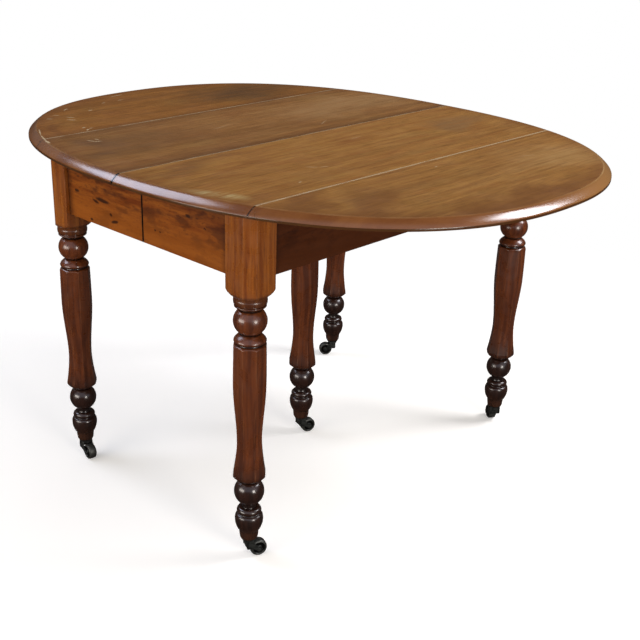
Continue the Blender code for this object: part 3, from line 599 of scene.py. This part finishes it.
end_marks = (
    # middle along Y and Z, length, width (mm) and turn (degrees)
    (-135, 676, 20, 9, 8), (167, 600, 13, 8, 0), (101, 624, 13, 8, 20), (89, 612, 32, 9, -14),
    (-38, 626, 8, 5, 0), (-53, 626, 8, 4, 0), (-182, 663, 9, 5, 30), (128, 647, 60, 11, 2),
    (150, 641, 30, 8, 12), (214, 650, 22, 8, 0),
)
end_looks = ((4.0, 1.0, 2.0), end_reach, "#451C08", "#6E310A", "#98520E", end_marks)
side_looks = ((2.0, 5.0, 1.0), side_reach, "#2C1106", "#441E08", "#50260B")
end_walnut = apron_walnut("sawn_walnut_end_apron", 1, 0, *end_looks)
side_walnut = apron_walnut("sawn_walnut_side_apron", 0, 1, *side_looks)
for corner in leg_corners:
    dress(f"apron_end_{corner}", end_walnut, apron_arris)
for side in ("front", "back"):
    dress(f"apron_side_{side}", side_walnut, apron_arris)

# Slides. Two dovetailed centre rails run between the rails of the two halves, and a bearer screwed
# under the centre rails stands on the fifth leg. Planed birch, bare, browned by age and dust.
rail_arris = 1.2
# Bare planed birch: dull yellow-brown with darker lines along the grain that catch the light.
birch, tree, shader, where = new_material("planed_birch_bare")
layers = ((260, 10, 3), (80, 2.4, 3), (14, 1.0, 1))
streak, line, pore = grain(tree, where, 1, (7.0, 3.0, 5.0), layers, chance=True)
colour = laid(tree, "#7A5A38", "#A5845A", (streak, 0.32, 0.68))
colour = laid(tree, colour, "#5E4328", (line, 0.45, 0.75), share=0.5)
set_looks(shader, colour, mask(tree, (pore, 0.3, 0.7, 0.60, 0.78)), (line, 0.4, 0.5))
for place in ("centre_left", "centre_right", *leg_corners):
    dress(f"rail_{place}", birch, rail_arris)
dress("bearer", birch, rail_arris)

# Lopers and keepers. The lopers are birch bars that pull out through slots in the side aprons to
# hold a raised leaf; a forked keeper screwed under the fixed board guides the inner end of each.
for corner in leg_corners:
    dress(f"loper_{corner}", birch, rail_arris)
    dress(f"keeper_{corner}", birch, rail_arris)

# Top. Two fixed boards and two D-shaped leaves of figured walnut, cut from one oval with a wide
# bevel round it. The leaves hang on rule joints, a rounded edge on the board in a hollow on the leaf.
half_x, half_y = cad_box[1][0], cad_box[1][1]
top_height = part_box("board_back")[1][2]
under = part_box("board_back")[0][2]
joint_y, axis_z = 316.5 * mm, under + 3.0 * mm
oval_power, oval_points = 2.32, 360
rim_profile = (
    # inset from the edge and height above the underside, up the edge and over the bevel
    (0.0, 0.0), (0.0, 3.7), (0.15, 4.8), (0.72, 5.95), (1.9, 7.4), (4.6, 10.1), (8.1, 13.2),
    (11.8, 16.0), (14.5, 17.6), (16.5, 18.4), (18.1, 18.83), (19.6, 19.0), (26.0, 19.0),
)
rule_radius, rule_play, rule_lip, rule_steps = 12.5 * mm, 0.4 * mm, 3.0 * mm, 20
board_seam = 0.7 * mm  # from the middle to a fixed board, whose edge has worn back
rim_share = 0.91  # of the way out, where the bevel may start
cutter = 10 * mm  # how far a cutter runs past the wood
seam_arris = 1.1
hinge_x, hinge_half = 200 * mm, 30.3 * mm
hinge_pocket_depth = 1.8 * mm
board_plate_reach, leaf_plate_reach, knuckle_reach = 30.3 * mm, 46.3 * mm, 16 * mm
knuckle_radius = 4.4 * mm
peg_x = (-300 * mm, 0.0, 300 * mm)
peg_hole = ((0.05, 22.3), (4.3, 22.3), (4.3, -5.0), (0.05, -5.0))  # its radius and depth


def oval_ring(inset, height):
    """Points round the rim, set in from its edge."""
    ring = []
    for i in range(oval_points):
        angle = 2 * pi * i / oval_points
        along = copysign(abs(cos(angle)) ** (2 / oval_power), cos(angle))
        across = copysign(abs(sin(angle)) ** (2 / oval_power), sin(angle))
        slope_x = copysign(abs(along) ** (oval_power - 1), along) / half_x
        slope_y = copysign(abs(across) ** (oval_power - 1), across) / half_y
        set_in = inset / hypot(slope_x, slope_y)
        ring.append((half_x * along - set_in * slope_x, half_y * across - set_in * slope_y, height))
    return ring


def length_shape(section, reach):
    """A section in Y and Z drawn along X, to both sides of the middle."""
    points = [(x, y, z) for x in (-reach, reach) for y, z in section]
    return points, stacked_faces(len(section))


def moved(shape, x=0.0, y=0.0, z=0.0):
    """A shape moved to another place."""
    return [(px + x, py + y, pz + z) for px, py, pz in shape[0]], shape[1]


def carved(blank, shapes, how="DIFFERENCE"):
    """What is left of a mesh after it is cut by shapes."""
    bench = [put("bench", mesh) for mesh in (blank, joined_mesh("cut", shapes))]
    cut = bench[0].modifiers.new("cut", "BOOLEAN")
    cut.operation, cut.object, cut.solver = how, bench[1], "EXACT"
    graph = bpy.context.evaluated_depsgraph_get()
    mesh = bpy.data.meshes.new_from_object(bench[0].evaluated_get(graph))
    for piece in bench:
        bpy.data.objects.remove(piece)
    return mesh


def arc(radius, start, end, steps=rule_steps):
    """Points of an arc about the hinge axis, in Y and Z."""
    turns = [radians(start + (end - start) * i / steps) for i in range(steps + 1)]
    return [(joint_y + radius * cos(t), axis_z + radius * sin(t)) for t in turns]


def underside_pocket(start, end):
    """Room for a hinge in the underside, between two distances from the middle."""
    low, high = under - cutter, under + hinge_pocket_depth
    return length_shape([(start, low), (end, low), (end, high), (start, high)], hinge_half)


over, below, reach = top_height + cutter, under - cutter, half_x + cutter
board_edge = arc(rule_radius, -degrees(asin(rule_lip / rule_radius)), 90)
board_section = [(board_seam, below), (board_edge[0][0], below), *board_edge]
board_section += [(joint_y, over), (board_seam, over)]
leaf_radius, leaf_far = rule_radius + rule_play, half_y + cutter
leaf_edge = arc(leaf_radius, 0, 90 - degrees(asin(rule_play / leaf_radius)))
leaf_section = [(joint_y + leaf_radius, below), *leaf_edge]
leaf_section += [(joint_y + rule_play, over), (leaf_far, over), (leaf_far, below)]
board_pocket = underside_pocket(joint_y - board_plate_reach, joint_y + knuckle_reach)
leaf_pocket = underside_pocket(joint_y, joint_y + leaf_plate_reach)
knuckle_room = length_shape(arc(knuckle_radius, 0, 336, 14), hinge_half)
oval = []
for inset, height in rim_profile:
    oval += oval_ring(inset * mm, under + height * mm)
whole_top = joined_mesh("top", [(oval, stacked_faces(oval_points, len(rim_profile)))])
board_mesh = carved(whole_top, [length_shape(board_section, reach)], "INTERSECT")
leaf_mesh = carved(whole_top, [length_shape(leaf_section, reach)], "INTERSECT")
for x in (-hinge_x, hinge_x):
    board_mesh = carved(board_mesh, [moved(board_pocket, x)])
    board_mesh = carved(board_mesh, [moved(knuckle_room, x)])
    leaf_mesh = carved(leaf_mesh, [moved(leaf_pocket, x)])
# places where the polish is chipped to bare wood: middle, length, width (mm) and turn (degrees)
rim_nicks = ((-419, 376, 74, 4, 61), (-443, 326, 74, 5, 68), (-455, 292, 40, 7, 76))
nicks = (
    (-384, 243, 26, 6, 110), (-367, 245, 20, 5, 95), (-376, 230, 24, 5, 160), (-323, 354, 14, 7, 20),
    (-328, 332, 18, 7, 40), (-314, 340, 16, 4, 12), (-299, 435, 30, 7, 130), (-286, 458, 26, 5, 125),
    (-331, 473, 20, 5, 142), (-298, 497, 22, 4, 140), (-207, 493, 16, 7, 0), (-246, 536, 30, 4, 30),
    (-132, 545, 18, 4, 20), (-56, 597, 60, 4, 12), (-80, 548, 26, 3, 10), *rim_nicks,
)
scratches = (
    # fine lines in the polish, as for the nicks
    (-190, -200, 34, 4.0, 135), (-170, -214, 26, 3.6, 160), (-284, -261, 16, 4.0, 20),
    (-4, -354, 14, 3.6, 10), (120, 60, 70, 1.8, 30), (-90, 170, 90, 1.6, 12), (210, -420, 60, 1.6, 160),
    (60, -90, 50, 1.6, 4),
)
faded_patches = ((-453, -222, 170, 46, 110), (-440, -244, 110, 50, 106))  # bleached, near the rim


def from_seam(tree, across, seam):
    """How far a point is from a seam of the top."""
    gap = add_node(tree, "Math", {0: across, 1: seam}, operation="SUBTRACT")
    return add_node(tree, "Math", {0: gap}, operation="ABSOLUTE")


def top_walnut(name, seed, dark, body, pale, seams, stains):
    """Figured walnut under old wax and French polish: golden where the light has bleached it, redder
    near the rim, with chips, scratches and arrises rubbed to pale wood, painted shade with some grime on
    its upright faces, painted shade in the slits of its seams, and a bare dusty underside."""
    material, tree, shader, where = new_material(name)
    # the pores are drawn coarser than the real ones, or they would not show
    sizes = ((130, 8, 4), (60, 4.5, 4), (26, 2.6, 2), (700, 40, 2), (170, 80, 3))
    streak, line, pore, band, cloud = grain(tree, where, 0, seed, sizes, wander=(420, 16))
    colour = laid(tree, body, pale, (streak, 0.25, 0.75))
    colour = laid(tree, colour, dark, (band, 0.45, 0.70), share=0.28)
    colour = laid(tree, colour, "#8E6C36", (cloud, 0.52, 0.72), share=0.25)
    colour = laid(tree, colour, "#7A4828", (cloud, 0.46, 0.28), share=0.25)
    colour = laid(tree, colour, dark, (line, 0.46, 0.74), share=0.42)
    colour = laid(tree, colour, "#3A2110", (pore, 0.56, 0.74), share=0.38)
    place, normal = by_axes(tree, where)
    normal = normal["Z"]
    rim = 0.0
    for axis, half in (("X", half_x), ("Y", half_y)):
        share = add_node(tree, "Math", {0: place[axis], 1: half}, operation="DIVIDE")
        share = add_node(tree, "Math", {0: share}, operation="ABSOLUTE")
        share = add_node(tree, "Math", {0: share, 1: oval_power}, operation="POWER")
        rim = add_node(tree, "Math", {0: rim, 1: share}, operation="ADD")
    colour = laid(tree, colour, "#6C3E20", (rim, 0.75, 0.98), share=0.5)
    drift = add_node(tree, "TexNoise", {"Vector": where, "Scale": 1 / (160 * mm), "Detail": 4.0})
    aside = {0: drift.outputs["Color"], 1: (0.5, 0.5, 0.5)}
    drift = add_node(tree, "VectorMath", aside, operation="SUBTRACT")
    drift = add_node(tree, "VectorMath", {0: drift, 3: 220 * mm}, operation="SCALE")
    ragged = add_node(tree, "VectorMath", {0: where, 1: drift}, operation="ADD")
    for marks, stain, share in stains:
        ovals = marks_mask(tree, ragged, 2, marks, 0.0)
        colour = laid(tree, colour, stain, (ovals, 0.0, 1.0), (streak, 0.25, 0.6, 0.3, 1.0), share=share)
    rub = add_node(tree, "TexNoise", {"Vector": where, "Scale": 1 / (60 * mm), "Detail": 4.0})
    wear = mask(tree, (rub, 0.48, 0.66), (normal, 0.80, 0.90), (normal, 0.995, 0.97), share=0.45)
    upward = mask(tree, (normal, 0.90, 0.98))
    for seam, share, patchy, painted_slit, shade in seams:
        gap = from_seam(tree, place["Y"], seam)
        broken = (rub, 0.5 - patchy, 0.5 + patchy / 4)
        edge = mask(tree, (gap, 3.4 * mm, 1.6 * mm), upward, broken, share=share)
        wear = add_node(tree, "Math", {0: wear, 1: edge}, operation="MAXIMUM")
        beside = (gap, 34 * mm, 2 * mm)
        colour = laid(tree, colour, "#4E2C18", beside, (streak, 0.2, 0.6, 0.4, 1.0), share=shade)
        # painted shade in the slit of the seam
        colour = laid(tree, colour, "#1A0E08", (gap, 1.4 * mm, 0.6 * mm), share=painted_slit)
    faded = marks_mask(tree, where, 2, faded_patches, 0.0)
    colour = laid(tree, colour, "#B29A68", faded, (line, 0.36, 0.60))
    for marks, share in ((nicks, 0.9), (scratches, 0.75)):
        mark = mask(tree, (marks_mask(tree, where, 2, marks), 0.0, 1.0), share=share)
        wear = add_node(tree, "Math", {0: wear, 1: mark}, operation="MAXIMUM")
    colour = laid(tree, colour, "#BFA680", wear)
    # painted shade, with some grime, on upright faces: the edge under the bevel and the sides of the
    # seams
    upright = add_node(tree, "Math", {0: normal}, operation="ABSOLUTE")
    colour = laid(tree, colour, "#2C170C", (upright, 0.45, 0.15), share=0.75)
    colour = laid(tree, colour, "#5F4329", (normal, -0.3, -0.7))
    smear = add_node(tree, "TexNoise", {"Vector": where, "Scale": 1 / (45 * mm), "Detail": 4.0})
    sheen = mask(tree, (smear, 0.3, 0.7, 0.34, 0.48))
    gloss = mask(tree, (normal, 0.97, 0.85), share=0.22)  # on rounded edges
    rough = add_node(tree, "Math", {0: sheen, 1: gloss}, operation="SUBTRACT")
    polish = {"Specular IOR Level": 0.32, "Coat Weight": 0.08, "Coat Roughness": 0.2}
    set_looks(shader, colour, rough, (line, 0.15, 0.3), polish)
    return material


# Polished walnut on the bevel: redder and glossier than the worn top, so it mirrors the windows, and
# bleached to gold on the right, with a pale rubbed arris there, and painted shade in the slits of the
# seams.
rim_walnut, tree, shader, where = new_material("bevelled_walnut_french_polish")
streak, line = grain(tree, where, 0, (3.0, 3.0, 6.0), ((300, 60, 3), (60, 2.4, 3)))
colour = laid(tree, "#6C3E1D", "#805028", (streak, 0.28, 0.72))
colour = laid(tree, colour, "#4E2A16", (line, 0.46, 0.76), share=0.18)
place, normal = by_axes(tree, where)
rub = add_node(tree, "TexNoise", {"Vector": where, "Scale": 1 / (50 * mm), "Detail": 4.0})
colour = laid(tree, colour, "#A87A44", (place["X"], -0.15, 0.35), share=0.85)
arris, patchy = (normal["Z"], 0.90, 0.96), (rub, 0.40, 0.62, 0.4, 0.9)
colour = laid(tree, colour, "#BE9A68", arris, patchy, (place["X"], 0.0, 0.35, 0.25, 1.0))
colour = laid(tree, colour, "#CDB896", (marks_mask(tree, where, 2, rim_nicks), 0.0, 1.0), share=0.9)
# painted shade in the slits of the seams through the bevel
for seam, width, share in ((0.0, 3.8, 1.0), (joint_y, 1.9, 0.8), (-joint_y, 1.9, 0.8)):
    gap = from_seam(tree, place["Y"], seam)
    colour = laid(tree, colour, "#0E0704", (gap, width * mm, (width - 1.0) * mm), share=share)
feed(shader, {"Base Color": colour, "Roughness": 0.22})
feed(shader, {"Coat Weight": 0.45, "Coat Roughness": 0.16})

# seams: place across the top, pale wear along them, how unbroken it is, painted shade in the slit, dark
# band beside them
front_seams = ((0.0, 0.95, 0.5, 0.5, 0.0), (-joint_y, 0.8, 0.45, 0.25, 0.0))
back_seams = ((0.0, 0.3, 0.04, 0.6, 0.6), (joint_y, 0.6, 0.3, 0.4, 0.35))
# broad stains: ovals as for the nicks, a colour and how much of it shows
board_front_stains = (
    (((-380, -50, 340, 150, 6), (-300, -20, 400, 60, 0)), "#6B4528", 0.5),
    (((350, -130, 300, 200, 0),), "#7A5C3C", 0.6),
)
board_back_stains = (
    (((-300, 180, 560, 360, 0),), "#6C4A2C", 0.55),
    (((-380, 225, 230, 130, 10), (-410, 120, 160, 70, 0)), "#5A402E", 0.5),
    (((300, 160, 680, 330, 0),), "#A07A4E", 0.75),
)
leaf_front_stains = (
    (((-300, -430, 420, 200, 30), (-380, -360, 260, 120, 40), (-60, -600, 760, 110, 0)), "#6A4020", 0.7),
    (((240, -470, 520, 260, 0),), "#AA8450", 0.6),
)
leaf_back_stains = (
    (((240, 430, 700, 360, 0),), "#5A4026", 0.85),
    (((-390, 380, 190, 60, 62),), "#64391C", 0.5),
)
top_looks = {
    # start of the figure, its dark, middle and pale tones, seams and stains
    "board_front": ((2.0, 1.0, 4.0), "#5E3B1A", "#925E2B", "#A4763A", front_seams, board_front_stains),
    "board_back": ((5.0, 3.0, 1.0), "#54351A", "#8A5A2C", "#9A6E3C", back_seams, board_back_stains),
    "leaf_front": ((1.0, 7.0, 2.0), "#5C3A1A", "#92612D", "#A6773B", front_seams[1:], leaf_front_stains),
    "leaf_back": ((8.0, 2.0, 3.0), "#54331A", "#8C5824", "#9A662C", back_seams[1:], leaf_back_stains),
}
for node, looks in top_looks.items():
    kind, side = node.split("_")
    mesh = (board_mesh if kind == "board" else leaf_mesh).copy()
    mesh.transform(Matrix.Rotation(pi if side == "front" else 0.0, 4, "Z"))
    if node == "board_back":
        points, faces = turned_shape(peg_hole, 24)
        drill = ([(px, pz, py + (under + top_height) / 2) for px, py, pz in points], faces)
        mesh = carved(mesh, [moved(drill, x) for x in peg_x])
    mesh.shade_smooth()
    mesh.set_sharp_from_angle(angle=radians(35))
    walnut = top_walnut(f"figured_walnut_{node}", *looks)
    body = f"half_{side}" if kind == "board" else node
    board = show(f"walnut_{node}", mesh, walnut, body)
    mesh.materials.append(rim_walnut)
    for face in mesh.polygons:
        x, y = face.center[:2]
        out = abs(x / half_x) ** oval_power + abs(y / half_y) ** oval_power
        face.material_index = int(out > rim_share and 0.3 < face.normal.z < 0.985)
    soften(board, seam_arris, 45)
    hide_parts(node)

# Pegs. Three pointed birch pegs in the back board, which find holes in the front one and keep the
# two level when the table is closed.
peg_arris = 0.4
for number in (1, 2, 3):
    dress(f"peg_{number}", birch, peg_arris)

# Hinges. Each leaf hangs on two strap hinges let into the underside across its rule joint, the
# longer plate on the leaf, with slotted screws. Rolled brass, tarnished.
hinge_arris = 0.25
plate_screws = {
    # along the joint and out from it
    "board": ((-21, -20), (0, -12), (21, -20)),
    "leaf": ((-21, 18), (21, 18), (0, 36)),
}
screw_radius, screw_slot, screw_steps = 3.3, 0.45, 13
screw_levels = ((0.0, 1.0), (0.35, 0.97), (0.6, 0.8))  # down from the face, and the share of its radius
disc_radius, disc_height, disc_core = screw_radius - 0.3, 0.25, 0.2
# Rolled brass: dull gold where it is clean, olive-brown and rougher where it has tarnished.
brass, tree, shader, where = new_material("rolled_brass_tarnished")
stain = add_node(tree, "TexNoise", {"Vector": where, "Scale": 1 / (14 * mm), "Detail": 4.0})
colour = laid(tree, "#6A5832", "#A08A54", (stain, 0.35, 0.65))
rough = mask(tree, (stain, 0.35, 0.65, 0.55, 0.34))
feed(shader, {"Base Color": colour, "Roughness": rough, "Metallic": 1.0})


def screw_shapes(x, y, z):
    """A slotted screw head under a face at a height, as two halves on a thin disc."""
    disc = ((disc_core, 0.0), (disc_radius, 0.0), (disc_radius, -disc_height), (disc_core, -disc_height))
    shapes = []
    for hand in (-1, 1):
        turns = [radians(hand * 8 + hand * 164 * i / (screw_steps - 1)) for i in range(screw_steps)]
        points = []
        for depth, shrink in screw_levels:
            for t in turns:
                across = max(screw_slot, abs(screw_radius * shrink * sin(t))) * hand
                points.append((screw_radius * shrink * cos(t) * mm, across * mm, -depth * mm))
        shapes.append((points, stacked_faces(screw_steps, len(screw_levels))))
    return [moved(shape, x, y, z) for shape in [*shapes, turned_shape(disc, 24)]]


for side, sign in (("front", -1), ("back", 1)):
    for plate, body in (("board", f"half_{side}"), ("leaf", f"leaf_{side}")):
        shapes = []
        for hand in ("left", "right"):
            node = f"hinge_{plate}_plate_{side}_{hand}"
            dress(node, brass, hinge_arris)
            for x, y in plate_screws[plate]:
                shapes += screw_shapes(middle_of(node)[0] + x * mm, sign * (joint_y + y * mm), under)
        show(f"hinge_screws_{plate}_{side}", joined_mesh("screws", shapes), brass, body)

# Screws. Slotted brass screws, driven up from below: two through each keeper into its board, and two
# through each end of the bearer into a centre rail.
keeper_screw_inset, bearer_screw_y = 4.5 * mm, 25 * mm
for side in ("front", "back"):
    shapes = []
    for hand in ("left", "right"):
        low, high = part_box(f"keeper_{side}_{hand}")
        for x in (low[0] + keeper_screw_inset, high[0] - keeper_screw_inset):
            shapes += screw_shapes(x, (low[1] + high[1]) / 2, low[2])
    show(f"keeper_screws_{side}", joined_mesh("screws", shapes), brass, f"half_{side}")
shapes = []
for hand in ("left", "right"):
    for y in (-bearer_screw_y, bearer_screw_y):
        shapes += screw_shapes(middle_of(f"rail_centre_{hand}")[0], y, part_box("bearer")[0][2])
show("bearer_screws", joined_mesh("screws", shapes), brass, "centre")

# Floor and light. A plain pale studio floor that fades into white, soft lamps on the left, front and
# right and one behind, an even pale surround, and a dark curtain, pale on two sides, that only
# reflections see.
floor_reach, floor_drop = 6.0, 0.2 * mm
corners = [(x * floor_reach, y * floor_reach, 0.0) for x, y in ((-1, -1), (1, -1), (1, 1), (-1, 1))]
floor_mesh = bpy.data.meshes.new("floor")
floor_mesh.from_pydata(corners, [], [(0, 1, 2, 3)])
floor = put("floor", floor_mesh)
floor.location.z = -floor_drop
floor.visible_glossy = False
# Painted floor: matt and nearly white to the camera, greyer to the light that it throws back.
painted_floor, tree, shader, where = new_material("painted_studio_floor")
path = add_node(tree, "LightPath")
colour = laid(tree, "#8E8C8A", "#F2EFE9", path.outputs["Is Camera Ray"])
lift = add_node(tree, "Math", {0: path.outputs["Is Camera Ray"], 1: 0.3}, operation="MULTIPLY")
feed(shader, {"Base Color": colour, "Roughness": 0.9, "Specular IOR Level": 0.0})
feed(shader, {"Emission Color": linear("#FFFFFF"), "Emission Strength": lift})
away = add_node(tree, "VectorMath", {0: where}, operation="LENGTH").outputs["Value"]
clear_floor = add_node(tree, "BsdfTransparent")
fade = {0: mask(tree, (away, 0.6, 1.9)), 1: shader, 2: clear_floor}
output = shader.outputs[0].links[0].to_node
feed(output, {"Surface": add_node(tree, "MixShader", fade)})
floor_mesh.materials.append(painted_floor)

curtain_reach, curtain_top, curtain_foot, curtain_steps = 4600, 4200, -500, 48
wall = turned_shape(((curtain_reach, curtain_top), (curtain_reach, curtain_foot)), curtain_steps)
ends = [tuple(range(start, 2 * curtain_steps, 2)) for start in (0, 1)]
curtain_mesh = bpy.data.meshes.new("curtain")
curtain_mesh.from_pydata(wall[0], [], wall[1][::2] + ends)
curtain = put("curtain", curtain_mesh)
for ray in ("camera", "diffuse", "transmission", "shadow"):
    setattr(curtain, f"visible_{ray}", False)
# Dark cloth with two pale panels that the polish mirrors: the way to each from the middle in degrees,
# the distances that way between which it starts, and its colour.
panels = ((-135.7, 0.9, 1.8, "#C6C9D8"), (95.0, 4.15, 4.4, "#6A6866"))
studio_curtain, tree, shader, where = new_material("studio_curtain")
high = add_node(tree, "SeparateXYZ", {0: where}).outputs["Z"]
colour = linear("#2E2A28")
for way, near, far, pale in panels:
    ahead = (cos(radians(way)), sin(radians(way)), 0.0)
    ahead = add_node(tree, "VectorMath", {0: where, 1: ahead}, operation="DOT_PRODUCT").outputs["Value"]
    colour = laid(tree, colour, pale, (ahead, near, far), (high, 0.9, 1.7))
feed(shader, {"Emission Color": colour, "Emission Strength": 1.0})
feed(shader, {"Base Color": linear("#2E2A28"), "Specular IOR Level": 0.0})
curtain_mesh.materials.append(studio_curtain)

world = bpy.data.worlds.new("pale_surround")
bpy.context.scene.world = world
world.use_nodes = True
tree = world.node_tree
tree.nodes.clear()
path = add_node(tree, "LightPath").outputs
seen = path["Is Camera Ray"]
for ray in ("Is Glossy Ray", "Is Transmission Ray"):
    seen = add_node(tree, "Math", {0: seen, 1: path[ray]}, operation="MAXIMUM")
lit = add_node(tree, "Background", {"Color": linear("#F4F4F6"), "Strength": 0.42})
white = add_node(tree, "Background", {"Color": linear("#FFFFFF"), "Strength": 1.0})
surround = add_node(tree, "MixShader", {0: seen, 1: lit, 2: white})
add_node(tree, "OutputWorld", {"Surface": surround})

lamp_aim = Vector((0.0, 0.0, 0.5))
lamps = (
    # name, place, width and height, power in watts, colour
    ("left_window", (-2.85, 0.41, 0.85), (1.8, 0.8), 34.0, "#FFF6EC"),
    ("front_window", (-0.72, -2.9, 0.9), (0.9, 0.8), 36.0, "#FFF8F0"),
    ("right_window", (1.84, -1.66, 2.65), (1.2, 1.2), 79.0, "#F6F6FC"),
    ("back_skylight", (-1.18, 2.08, 2.88), (1.5, 1.5), 48.0, "#DAE2F8"),
)
for name, place, (width, height), power, hue in lamps:
    lamp = bpy.data.lights.new(name, "AREA")
    lamp.shape = "RECTANGLE"
    lamp.size, lamp.size_y = width, height
    lamp.energy = power
    lamp.color = linear(hue)[:3]
    stand = put(name, lamp)
    stand.location = place
    stand.rotation_euler = (lamp_aim - Vector(place)).to_track_quat("-Z", "Y").to_euler()
    stand.visible_camera = False

# Camera. It stands off the front left corner, a little above the top, and is turned a little from
# level. Its place and lens come from a fit to the turnings, wheels, seams and rim.
image_width = 640
camera_place = (-1.635, -1.5648, 1.2477)
camera_bearing, camera_tilt, camera_roll = -135.7097, 23.8992, 1.3397  # degrees
focal_pixels, middle_x, middle_y = 1061.66, 290.75, 344.0  # middle of the lens, in the image's pixels
camera = put("camera", bpy.data.cameras.new("camera"))
pose = Matrix.Translation(camera_place)
for turn, axis in ((90 + camera_bearing, "Z"), (90 - camera_tilt, "X"), (camera_roll, "Z")):
    pose = pose @ Matrix.Rotation(radians(turn), 4, axis)
camera.matrix_world = pose
camera.data.sensor_width = 36.0
camera.data.lens = focal_pixels / image_width * camera.data.sensor_width
camera.data.shift_x = (image_width / 2 - middle_x) / image_width
camera.data.shift_y = (middle_y - image_width / 2) / image_width
bpy.context.scene.camera = camera
bpy.context.scene.view_settings.view_transform = "Standard"
